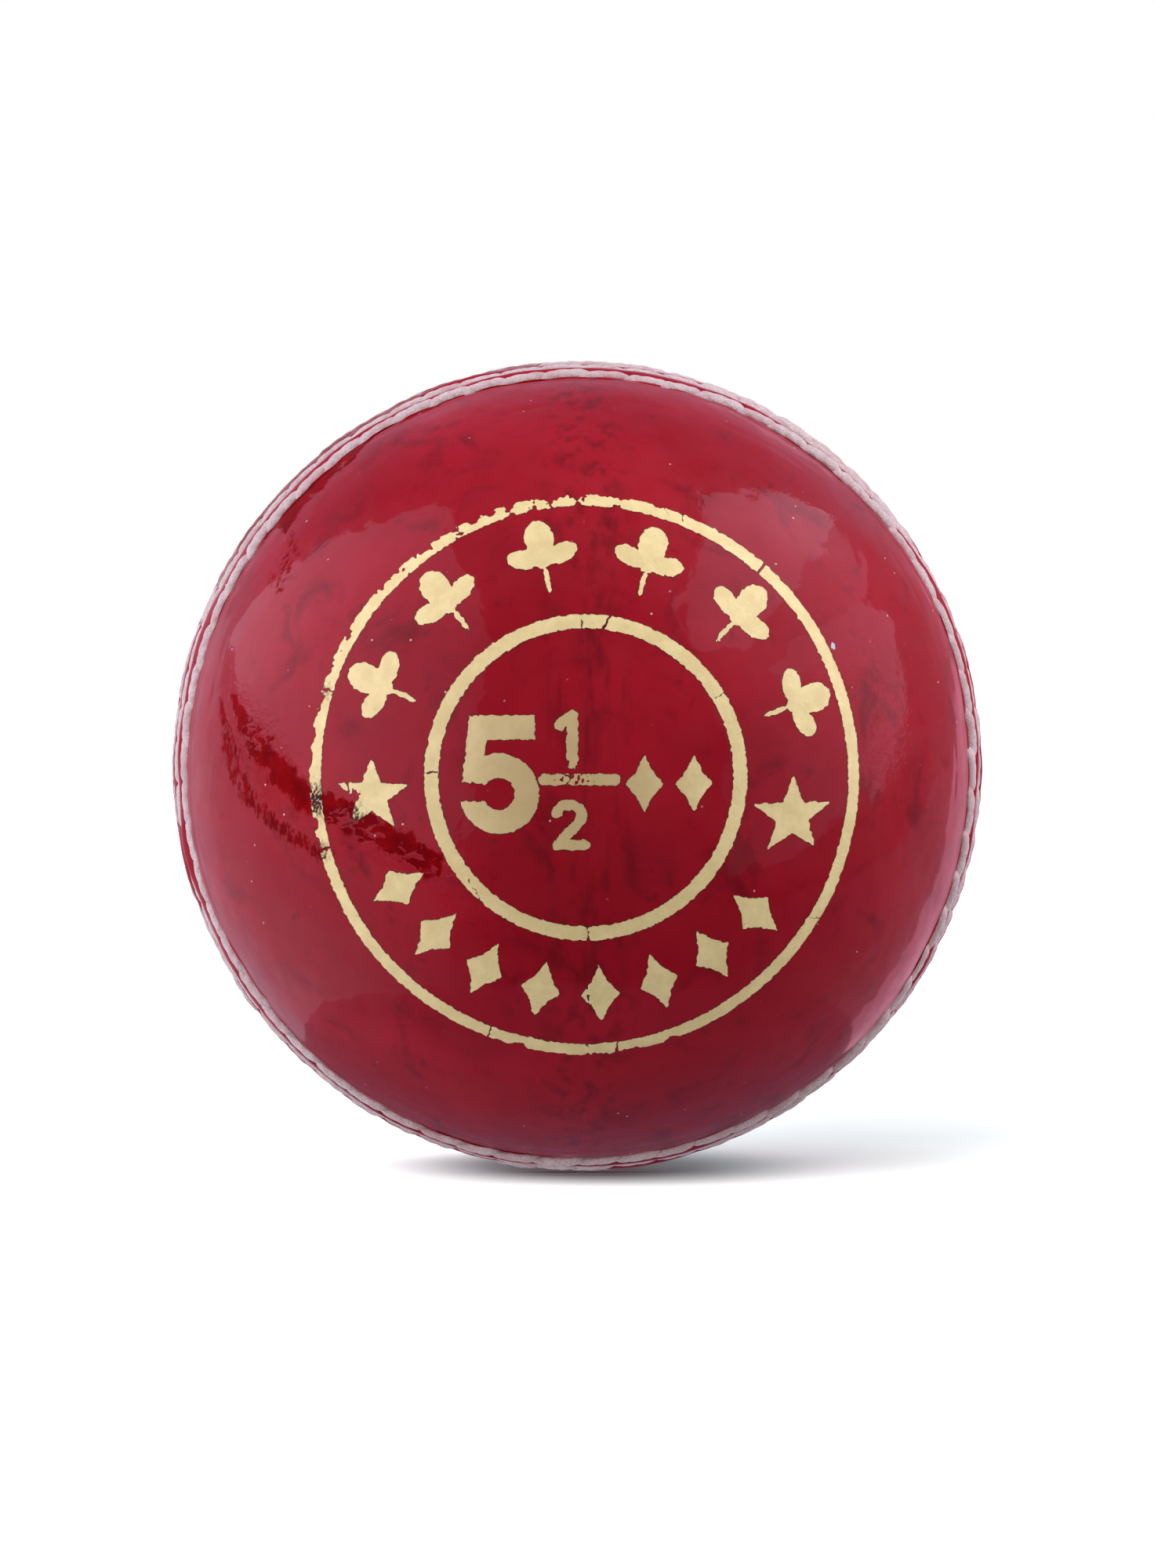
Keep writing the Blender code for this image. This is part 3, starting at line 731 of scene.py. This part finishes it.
def foil_field(points, shape):
    edge, rubbed, holes = wear(points)
    whole = shape(points) + edge - np.maximum(rubbed, 0)
    return np.minimum(np.minimum(whole, holes), cracks(points))


def mark_grid(centre, reach, step):
    count = int(2 * (reach + 0.5) / step)
    line = np.linspace(-(reach + 0.5), reach + 0.5, count)
    u, v = np.meshgrid(centre[0] + line, centre[1] + line, indexing="ij")
    return np.stack([u, v], -1), False


def ring_grid(outer_arc, step):
    reach = np.arange(outer_arc - RING_WIDTH - 0.6, outer_arc + 0.6, step)
    turn = np.arange(0, 2 * np.pi, step / outer_arc)
    r, a = np.meshgrid(reach, turn, indexing="ij")
    return np.stack([r * np.cos(a), r * np.sin(a)], -1), True


def make_stamp_piece(name, grids, nodes, gold, size_and_edge_shade):
    """The foil of some marks, over a slightly wider dark sheet: the size that holds the foil, which also
    paints the shade along the foil's pressed-in edge.
    """
    for label, spread, levels, material in (
        (name, 0.0, (-0.02, 0.022), gold),
        (name + "_size_and_edge_shade", 0.055, (-0.05, 0.010), size_and_edge_shade),
    ):
        verts, faces, dark, first = [], [], [], 0
        for (points, wrap), shape in grids:
            plan, tris = clip_sheet(points, foil_field(points, shape) + spread, wrap)
            solid_verts, solid_faces = thin_solid(plan, tris, *levels)
            faces += [f + first for f in solid_faces]
            first += len(solid_verts)
            verts.append(solid_verts)
            dark.append(np.tile(tarnish_and_dark_reflection(plan), 2))
        piece = mesh_object(label, np.concatenate(verts), faces, material, sharp_angle=40,
                            attributes={"tarnish_and_dark_reflection": np.concatenate(dark)})
        if label == name:
            mark_piece(piece, nodes)
        else:
            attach(piece, "root")


def make_stamp(gold, size_and_edge_shade):
    rings = (  # name, outer edge, shift to the right, and how far out of round
        ("outer", OUTER_RING_ARC, -0.12, (0.988, 1.010)),
        ("inner", INNER_RING_ARC, -0.10, (0.993, 1.0)),
    )
    for name, arc, shift, squeeze in rings:
        grids = [(ring_grid(arc, 0.11), lambda p, a=arc, d=shift, q=squeeze: inside_ring(p, a, d, q))]
        make_stamp_piece(f"gold_ring_{name}", grids, [f"stamp_ring_{name}"], gold, size_and_edge_shade)
    for name, (nodes, marks) in stamp_pieces().items():
        grids = [(mark_grid(centre, reach, 0.10), shape) for centre, reach, shape in marks]
        make_stamp_piece(name, grids, nodes, gold, size_and_edge_shade)


# ------ material helpers


class Nodes:
    """Short ways to add nodes to a tree. An input is a number, a colour or another node's output."""

    def __init__(self, owner, place="Object", empty=False):
        owner.use_nodes = True
        self.tree = owner.node_tree
        if empty:
            self.tree.nodes.clear()
        self.place = self.node("ShaderNodeTexCoord").outputs[place]

    def feed(self, socket, value):
        if isinstance(value, bpy.types.NodeSocket):
            self.tree.links.new(value, socket)
        elif socket.type == "RGBA":
            socket.default_value = (*value, 1.0)
        else:
            socket.default_value = value

    def node(self, kind, inputs=None, **settings):
        made = self.tree.nodes.new(kind)
        for key, value in settings.items():
            setattr(made, key, value)
        for key, value in (inputs or {}).items():
            by_name = (s for s in made.inputs if s.name == key and s.enabled)
            self.feed(made.inputs[key] if isinstance(key, int) else next(by_name), value)
        return made

    def stretched(self, stretch):
        if stretch is None:
            return self.place
        return self.node("ShaderNodeMapping", {"Vector": self.place, "Scale": stretch}).outputs["Vector"]

    def noise(self, size_mm, detail=4.0, roughness=0.55, stretch=None, distortion=0.0):
        inputs = {"Vector": self.stretched(stretch), "Scale": 1.0 / (size_mm * MM), "Detail": detail,
                  "Roughness": roughness, "Distortion": distortion}
        return self.node("ShaderNodeTexNoise", inputs).outputs["Fac"]

    def cells(self, size_mm):
        inputs = {"Vector": self.place, "Scale": 1.0 / (size_mm * MM)}
        return self.node("ShaderNodeTexVoronoi", inputs, feature="F1").outputs["Distance"]

    def level(self, source, low, high, out_low=0.0, out_high=1.0, kind="SMOOTHSTEP"):
        inputs = {"Value": source, "From Min": low, "From Max": high, "To Min": out_low, "To Max": out_high}
        return self.node("ShaderNodeMapRange", inputs, interpolation_type=kind).outputs["Result"]

    def patches(self, size_mm, low, high, out_low=0.0, out_high=1.0, **noise):
        return self.level(self.noise(size_mm, **noise), low, high, out_low, out_high)

    def math(self, operation, a, b):
        return self.node("ShaderNodeMath", {0: a, 1: b}, operation=operation).outputs["Value"]

    def times(self, a, b):
        return self.math("MULTIPLY", a, b)

    def mix(self, share, a, b):
        made = self.node("ShaderNodeMix", {"Factor": share, "A": a, "B": b}, data_type="RGBA")
        return next(s for s in made.outputs if s.name == "Result" and s.enabled)

    def tint(self, colour, where, share, other):
        return self.mix(self.times(where, share), colour, other)

    def distance(self, at, stretch=None):
        inputs = {0: self.stretched(stretch), 1: at}
        return self.node("ShaderNodeVectorMath", inputs, operation="DISTANCE").outputs["Value"]

    def split(self):
        return self.node("ShaderNodeSeparateXYZ", {"Vector": self.place}).outputs

    def bump(self, height, depth_mm, normal=None):
        inputs = {"Height": height, "Strength": 1.0, "Distance": depth_mm * MM}
        if normal is not None:
            inputs["Normal"] = normal
        return self.node("ShaderNodeBump", inputs).outputs["Normal"]

    def attribute(self, name):
        return self.node("ShaderNodeAttribute", attribute_name=name).outputs["Fac"]


class Look(Nodes):
    """A material with a Principled shader."""

    def __init__(self, name):
        self.material = bpy.data.materials.new(name)
        super().__init__(self.material)

    def finish(self, **values):
        """Sets the shader's inputs; their names have _ for each space."""
        for key, value in values.items():
            self.feed(self.tree.nodes["Principled BSDF"].inputs[key.replace("_", " ")], value)
        return self.material


# ------ the ball's materials

CHIP_AT = (0.0217, -0.0264, 0.0113)  # world place of the one chip that shows pale leather
DEEP_DYE_AND_SHADE = ((0.15, 0.0008, 0.003), (0.245, 0.0008, 0.003))  # where the lacquer is rubbed away, and the painted shade in the groove beside the outer row


def dyed_colour(look):
    """Red dye of uneven depth, with pale specks and the chip."""
    broad = look.patches(17, 0.35, 0.7, detail=5, distortion=0.4)
    colour = look.mix(broad, (0.295, 0.0036, 0.0120), (0.365, 0.0058, 0.0175))
    mottle = look.patches(5.5, 0.52, 0.72, detail=6, roughness=0.62, distortion=0.8)
    colour = look.tint(colour, mottle, 0.55, (0.115, 0.003, 0.008))
    dapple = look.patches(2.2, 0.58, 0.74, detail=5, roughness=0.7)
    colour = look.tint(colour, dapple, 0.45, (0.085, 0.003, 0.007))
    warm = look.patches(9, 0.60, 0.78, detail=3)
    colour = look.tint(colour, warm, 0.35, (0.31, 0.008, 0.010))
    specks = look.level(look.cells(1.8), 0.072, 0.035)
    colour = look.tint(colour, specks, look.patches(5.0, 0.50, 0.56, detail=2), (0.62, 0.42, 0.43))
    ragged = look.times(look.noise(0.5, detail=3), 0.0006)
    chip = look.level(look.math("ADD", look.distance(CHIP_AT), ragged), 0.00066, 0.00056)
    return look.mix(chip, colour, (0.50, 0.56, 0.66))


def closing_line_smears(look):
    """Dark smears along the line where two quarters meet: upright in front, level at the back."""
    across = look.split()
    on_back = look.math("GREATER_THAN", across["Y"], 0.0)
    off_line = [look.math("ABSOLUTE", across[axis], 0.0) for axis in "XZ"]
    near_line = look.level(look.mix(on_back, *off_line), 0.006, 0.001)
    along = ((1.0, 1.0, 0.14), (0.14, 1.0, 1.0))
    smears = look.mix(on_back, *(look.noise(1.3, detail=4, roughness=0.6, stretch=s) for s in along))
    return look.times(look.level(smears, 0.46, 0.66), near_line)


def red_leather():
    look = Look("lacquered_red_leather")
    colour = look.tint(dyed_colour(look), closing_line_smears(look), 0.55, (0.12, 0.004, 0.008))
    fray = look.patches(0.55, 0.3, 0.7, -0.24, 0.24, detail=5, roughness=0.7, stretch=(1.0, 1.0, 0.6))
    # crease holds the painted shade beside the outer row as well as the rubbed-away streaks
    crease = look.level(look.math("ADD", look.attribute("crease"), fray), 0.34, 0.74)
    puckers = look.noise(0.75, detail=2, stretch=(0.55, 1.0, 1.25), distortion=0.8)
    folds = look.times(puckers, look.attribute("crinkle"))
    kept = look.times(look.level(folds, 0.46, 0.53), 0.85)
    crease = look.times(crease, look.math("SUBTRACT", 1.0, kept))
    # dark dye colour for the streaks where the lacquer is rubbed away, which also paints the shade beside
    # the outer row
    wear_and_shade = look.mix(look.patches(1.8, 0.35, 0.65, detail=4), *DEEP_DYE_AND_SHADE)
    grain = look.times(look.noise(0.55, detail=3, roughness=0.6), 0.6)
    pores = look.times(look.level(look.cells(0.9), 0.0, 0.35), 0.5)
    ripple = look.bump(look.noise(4.2, detail=3, roughness=0.5), 0.050)
    peel = look.times(look.noise(0.75, detail=3, distortion=0.5), look.patches(11, 0.50, 0.62, detail=2))
    lacquer = look.bump(peel, 0.012, look.bump(look.noise(0.9, detail=2), 0.003, ripple))
    return look.finish(
        Base_Color=look.mix(crease, colour, wear_and_shade),
        Roughness=look.patches(3.0, 0.3, 0.75, 0.26, 0.42, detail=5),
        Specular_IOR_Level=look.level(crease, 0.0, 1.0, 0.10, 0.01),
        Normal=look.bump(look.math("ADD", grain, pores), 0.010, ripple),
        Coat_Weight=look.level(crease, 0.0, 1.0, 0.55, 0.05),
        Coat_Roughness=0.035,
        Coat_IOR=1.42,
        Coat_Normal=look.bump(folds, 0.085, lacquer),
    )


def stitch_thread():
    look = Look("waxed_stitch_thread")
    fibre = look.noise(0.16, detail=3, roughness=0.7)
    pale = look.mix(look.level(fibre, 0.3, 0.7), (0.48, 0.32, 0.33), (0.72, 0.58, 0.58))
    pink = look.tint(pale, look.patches(3.0, 0.42, 0.68, detail=4), 0.5, (0.48, 0.22, 0.23))
    grime = look.patches(1.6, 0.60, 0.75, detail=5, roughness=0.7)
    pink = look.tint(pink, grime, 0.35, (0.25, 0.19, 0.18))
    # dark red where the thread is stained by the leather, and painted shade under the stitches and at their
    # ends
    dye_stain_and_shade = look.level(look.attribute("dye_stain_and_shade"), 0.25, 1.0)
    return look.finish(
        Base_Color=look.mix(dye_stain_and_shade, pink, (0.26, 0.035, 0.04)),
        Roughness=look.level(fibre, 0.3, 0.8, 0.62, 0.85),
        Specular_IOR_Level=0.35,
        Normal=look.bump(fibre, 0.07, look.bump(look.noise(0.5, detail=2), 0.08)),
        Sheen_Weight=0.35,
        Sheen_Roughness=0.5,
    )


def gold_foil():
    look = Look("worn_gold_foil")
    tone = look.patches(1.8, 0.35, 0.7, detail=5, roughness=0.65)
    colour = look.mix(tone, (0.88, 0.685, 0.315), (0.99, 0.80, 0.39))
    dull = look.patches(0.6, 0.58, 0.72, detail=5, roughness=0.75)
    colour = look.tint(colour, dull, 0.30, (0.52, 0.34, 0.14))
    handled = look.level(look.distance((-0.002, -LEATHER_R * MM, 0.0)), 0.015, 0.003)
    colour = look.tint(colour, handled, 0.75, (0.56, 0.39, 0.18))
    wrinkles = look.patches(1.5, 0.47, 0.53, detail=4, distortion=1.5)
    grain = look.bump(wrinkles, 0.008, look.bump(look.noise(0.5, detail=3), 0.020))
    return look.finish(
        # near black where the foil is tarnished, and where a dark reflection is painted on the left of the
        # outer ring
        Base_Color=look.mix(look.attribute("tarnish_and_dark_reflection"), colour, (0.022, 0.016, 0.008)),
        Metallic=0.15,
        Roughness=look.patches(1.1, 0.3, 0.75, 0.34, 0.55, detail=4),
        Normal=look.bump(look.noise(2.2, detail=2), 0.05, grain),
    )


# A dark size under the foil; the rim of it that shows round the foil is painted shade of the pressed-in
# edge
def size_and_edge_shade():
    look = Look("size_and_painted_edge_shade_under_foil")
    tone = look.noise(0.8, detail=4)
    return look.finish(
        Base_Color=look.mix(tone, (0.050, 0.010, 0.008), (0.13, 0.025, 0.018)),
        Roughness=look.level(tone, 0.3, 0.7, 0.35, 0.6),
        Normal=look.bump(look.noise(0.4, detail=3), 0.02),
        Coat_Weight=0.5,
        Coat_Roughness=0.15,
    )


def yarn(name, pale, dark, size_mm):
    look = Look(name)
    strands = look.noise(size_mm, detail=3, stretch=(0.25, 1.0, 0.6), distortion=0.6)
    crossing = look.noise(size_mm, detail=3, stretch=(1.0, 0.3, 0.8), distortion=0.6)
    wound = look.math("MAXIMUM", strands, crossing)
    return look.finish(
        Base_Color=look.mix(look.level(wound, 0.4, 0.75), dark, pale),
        Roughness=look.level(wound, 0.3, 0.8, 0.95, 0.8),
        Normal=look.bump(wound, 0.5),
        Sheen_Weight=0.3,
    )


def cork():
    look = Look("pressed_cork")
    crumbs = look.cells(1.6)
    colour = look.mix(look.patches(1.1, 0.35, 0.7, detail=4), (0.30, 0.16, 0.075), (0.58, 0.38, 0.20))
    return look.finish(
        Base_Color=look.tint(colour, look.level(crumbs, 0.45, 0.8), 0.7, (0.10, 0.05, 0.025)),
        Roughness=look.patches(0.7, 0.3, 0.7, 0.78, 0.95),
        Normal=look.bump(crumbs, 0.25),
    )


def cork_rubber():
    look = Look("cork_and_rubber")
    shade = look.level(look.cells(1.2), 0.2, 0.55)
    return look.finish(
        Base_Color=look.mix(shade, (0.34, 0.20, 0.11), (0.035, 0.024, 0.02)),
        Roughness=look.level(shade, 0.0, 1.0, 0.85, 0.6),
        Normal=look.bump(shade, 0.12),
    )


def lining_leather():
    look = Look("split_leather_lining")
    nap = look.noise(0.8, detail=5, roughness=0.7)
    return look.finish(
        Base_Color=look.mix(look.level(nap, 0.3, 0.7), (0.30, 0.17, 0.10), (0.52, 0.34, 0.22)),
        Roughness=look.level(nap, 0.3, 0.7, 0.8, 0.95),
        Normal=look.bump(nap, 0.15),
    )


def dress_core():
    """Materials for the CAD pieces inside the ball, which keep their own meshes."""
    looks = {
        "wool_yarn": yarn("wound_wool_yarn", (0.74, 0.66, 0.52), (0.34, 0.27, 0.19), 0.9),
        "flax_thread": yarn("waxed_flax_thread", (0.62, 0.50, 0.33), (0.30, 0.22, 0.13), 0.3),
        "cork": cork(),
        "cork_rubber": cork_rubber(),
        "lining_leather": lining_leather(),
    }
    for subpart in frame["record"]["subparts"]:
        material = looks.get(subpart["material_slot"])
        if material is not None:
            for slot in frame["nodes"][subpart["node"]].material_slots:
                slot.material = material


# ------ studio

COOL = (0.90, 0.89, 1.16)
CARDS = (  # name, x, radiance, colour, the y where it starts and ends fading in, corners as (y, z)
    ("softbox_left", -0.8, 1.20, COOL, (-2.6, 0.5),
     ((-1.5, 1.13), (-0.7, 1.33), (0.0, 1.48), (0.7, 0.47), (0.82, 0.27), (0.49, 0.18), (-0.13, -0.06),
      (-0.53, -0.26), (-0.95, -0.56), (-1.2, -0.3), (-1.4, 0.4))),
    ("reflector_left", -0.8, 0.55, COOL, (-1.1, 0.35),
     ((0.66, 0.14), (0.49, 0.08), (-0.1, -0.22), (-0.55, -0.46), (-1.1, -0.85), (-1.2, -2.6), (1.6, -2.6),
      (1.2, -1.0), (0.84, -0.49), (0.67, -0.1))),
    ("wall_left", -0.8, 0.62, (0.85, 0.88, 1.16), None,
     ((0.71, 0.18), (0.67, -0.1), (0.84, -0.5), (1.05, -0.85), (1.75, -1.45), (6.0, -5.0), (7.0, 4.0),
      (2.0, 1.07), (1.3, 0.44))),
    ("softbox_right", 0.8, 1.80, COOL, (-2.6, 0.6),
     ((-1.2, 1.08), (-0.9, 1.3), (-0.3, 1.5), (0.0, 1.6), (0.18, 1.8), (0.32, 1.33), (0.76, 0.7),
      (0.0, 0.64), (-0.6, 0.66), (-0.95, 0.8))),
    ("streak_right", 0.8, 0.95, COOL, None,
     ((-0.5, 0.47), (-0.1, 0.45), (0.30, 0.42), (0.44, 0.34), (0.26, 0.1), (0.05, -0.1), (0.0, 0.0),
      (0.2, 0.24), (-0.05, 0.3), (-0.45, 0.4))),
    ("haze_right", 0.82, 0.70, COOL, (-1.6, 0.3),
     ((-1.2, 1.0), (0.62, 0.70), (0.40, 0.36), (0.08, 0.06), (-0.1, -0.16), (-0.5, -0.38), (-0.8, -0.58),
      (-1.0, 0.2))),
    ("flag_right", 0.815, 0.28, COOL, (0.1, 1.1),
     ((0.12, -0.2), (0.20, 0.38), (0.62, 0.62), (1.8, 0.62), (1.25, 0.22), (0.90, 0.04), (0.82, -0.2))),
    ("reflector_right", 0.8, 0.24, COOL, (-1.0, 0.5),
     ((0.66, 0.0), (0.0, -0.33), (-0.45, -0.58), (-1.1, -1.0), (-1.2, -2.6), (3.0, -2.6), (1.3, -1.1),
      (0.84, -0.53), (0.7, -0.18))),
    ("wall_right", 0.8, 0.66, (1.6, 0.86, 1.2), None,
     ((0.86, 0.04), (0.80, -0.18), (0.90, -0.53), (1.05, -1.1), (1.55, -1.73), (6.0, -6.5), (7.0, 4.0),
      (2.0, 1.1), (1.7, 0.62), (1.2, 0.22))),
)
FILLS = (  # name, direction, distance, size, radiance
    ("fill_above", (0, -0.05, 1), 1.6, 1.8, 1.58),
    ("fill_front", (0.1, -1, 0.1), 0.85, 3.0, 0.56),
    ("fill_below", (0, 0.3, -1), 0.9, 2.4, 0.10),
    ("fill_right", (1, 0.1, 0.4), 0.5, 0.9, 1.38),
    ("fill_left", (-1, 0.1, -0.1), 0.5, 0.9, 1.5),
)
FLOOR_Z = CAD_BOX[0][2] - 0.0002
PAINTED_FLOOR_SHADOWS = (  # painted shadow on the floor: flattening, centre, and the distances and brightness that the painted shadow runs between
    (0.75, (0.002, 0.0065, FLOOR_Z), (0.007, 0.025, 0.0, 1.0)),
    (0.58, (0.018, 0.012, FLOOR_Z), (0.002, 0.034, 0.30, 1.0)),
    (0.58, (0.032, 0.034, FLOOR_Z), (0.004, 0.044, 0.20, 1.0)),
)


def sheet(name, corners, material, unseen_by):
    """A flat piece of the studio; unseen_by says which rays pass it by."""
    mesh = bpy.data.meshes.new(name)
    mesh.from_pydata(corners, [], [tuple(range(len(corners)))])
    mesh.materials.append(material)
    obj = add(name, mesh)
    for ray in unseen_by:
        setattr(obj, f"visible_{ray}", False)


def glowing(name, colour, radiance, fade=None):
    """A material that gives light; fade is the y where it is dark and the y of its full strength."""
    material = bpy.data.materials.new(name)
    nodes = Nodes(material, empty=True)
    if fade is not None:
        radiance = nodes.level(nodes.split()["Y"], *fade, 0.0, radiance, kind="LINEAR")
    glow = nodes.node("ShaderNodeEmission", {"Color": colour, "Strength": radiance})
    nodes.node("ShaderNodeOutputMaterial", {"Surface": glow.outputs["Emission"]})
    return material


def fill_light(name, direction, distance, size, radiance):
    """Soft light that brightens the leather's colour without showing in its gloss."""
    data = bpy.data.lights.new(name, "AREA")
    data.size = size
    data.energy = radiance * math.pi * size * size
    lamp = add(name, data)
    lamp.location = Vector(direction).normalized() * distance
    lamp.rotation_euler = Vector(direction).to_track_quat("Z", "Y").to_euler()
    lamp.visible_camera = False
    lamp.visible_glossy = False


def shade_under_ball(radius, radiance):
    """The dim floor right under the ball, which only the ball's gloss sees."""
    low = CAD_BOX[0][2] - 0.001
    turn = np.arange(48) * 2 * np.pi / 48
    rim = [(radius * math.cos(a), radius * math.sin(a), low) for a in turn]
    glow = glowing("shade_under_ball", (0.74, 0.84, 1.3), radiance)
    sheet("shade_under_ball", rim, glow, ("camera", "diffuse", "shadow"))


def make_world():
    """White for the camera; for the ball, a dark room in front of it and a pale wall behind."""
    world = bpy.data.worlds.new("studio")
    bpy.context.scene.world = world
    nodes = Nodes(world, place="Generated", empty=True)
    towards = nodes.split()
    ramp = nodes.node("ShaderNodeValToRGB", {"Fac": nodes.level(towards["Y"], -1.0, 1.0, kind="LINEAR")})
    stops = ((-1.0, 0.012), (-0.2, 0.02), (0.25, 0.07), (0.60, 0.19), (0.80, 0.38), (1.0, 0.58))
    elements = ramp.color_ramp.elements
    while len(elements) < len(stops):
        elements.new(0.5)
    for element, (y, level) in zip(elements, stops):
        element.position = (y + 1) / 2
        element.color = (0.84 * level, 0.86 * level, 1.26 * level, 1)
    dimmer = nodes.level(towards["Z"], 0.35, 0.80, 1.0, 0.95, kind="LINEAR")
    room = nodes.node("ShaderNodeBackground", {"Color": ramp.outputs["Color"], "Strength": dimmer})
    white = nodes.node("ShaderNodeBackground", {"Color": (1, 1, 1), "Strength": 1.0})
    by_camera = nodes.node("ShaderNodeLightPath").outputs["Is Camera Ray"]
    sides = {0: by_camera, 1: room.outputs["Background"], 2: white.outputs["Background"]}
    mixed = nodes.node("ShaderNodeMixShader", sides)
    nodes.node("ShaderNodeOutputWorld", {"Surface": mixed.outputs["Shader"]})


def make_floor():
    """A pale floor under the ball; further off it glows, so that it runs into the white behind. Near the
    ball the glow is held back in three soft ellipses, a painted contact shadow with a tail to the right and
    back.
    """
    reach = 30.0
    corners = [(x * reach, y * reach, FLOOR_Z) for x, y in ((-1, -1), (1, -1), (1, 1), (-1, 1))]
    look = Look("pale_floor")
    glows = [look.level(look.distance(at, (1.0, flat, 1.0)), *ramp) for flat, at, ramp in PAINTED_FLOOR_SHADOWS]
    painted_shadow_glow = look.times(look.times(glows[0], glows[1]), glows[2])
    tint = look.node("ShaderNodeValToRGB", {"Fac": glows[0]})  # counters the ball's red light, and darkens the floor by the ball as painted shadow
    dark, pale = tint.color_ramp.elements
    dark.color = (0.41, 0.54, 0.515, 1)
    pale.color = (0.575, 0.615, 0.585, 1)
    pale.position = 0.8
    material = look.finish(
        Base_Color=tint.outputs["Color"],
        Roughness=0.8,
        Specular_IOR_Level=0.0,
        Emission_Color=(1, 1, 1),
        Emission_Strength=painted_shadow_glow,
    )
    sheet("floor", corners, material, ("glossy", "diffuse", "shadow"))


def make_camera():
    azimuth, elevation, distance = math.radians(-1.5), math.radians(1.9), 0.9
    frame_height = 0.1405  # of the view, at the ball's centre
    aim = Vector((0, 0, -0.00166))
    data = bpy.data.cameras.new("camera")
    data.sensor_width = 36
    data.lens = data.sensor_width * distance / frame_height
    data.clip_start = 0.01
    camera = add("camera", data)
    away = Vector((math.sin(azimuth), -math.cos(azimuth), 0)) * math.cos(elevation)
    away.z = math.sin(elevation)
    camera.location = aim + away * distance
    camera.rotation_euler = (-away).to_track_quat("-Z", "Y").to_euler()
    bpy.context.scene.camera = camera


def make_studio():
    for name, side, radiance, colour, fade, outline in CARDS:
        corners = [(side, y, z) for y, z in outline]
        sheet(name, corners, glowing(name, colour, radiance, fade), ("camera",))
    for fill in FILLS:
        fill_light(*fill)
    shade_under_ball(0.04, 0.16)
    make_world()
    make_floor()
    make_camera()
    bpy.context.scene.view_settings.view_transform = "Standard"
    bpy.context.scene.view_settings.look = "None"


make_leather(red_leather())
make_stitching(stitch_thread())
make_stamp(gold_foil(), size_and_edge_shade())
dress_core()
make_studio()
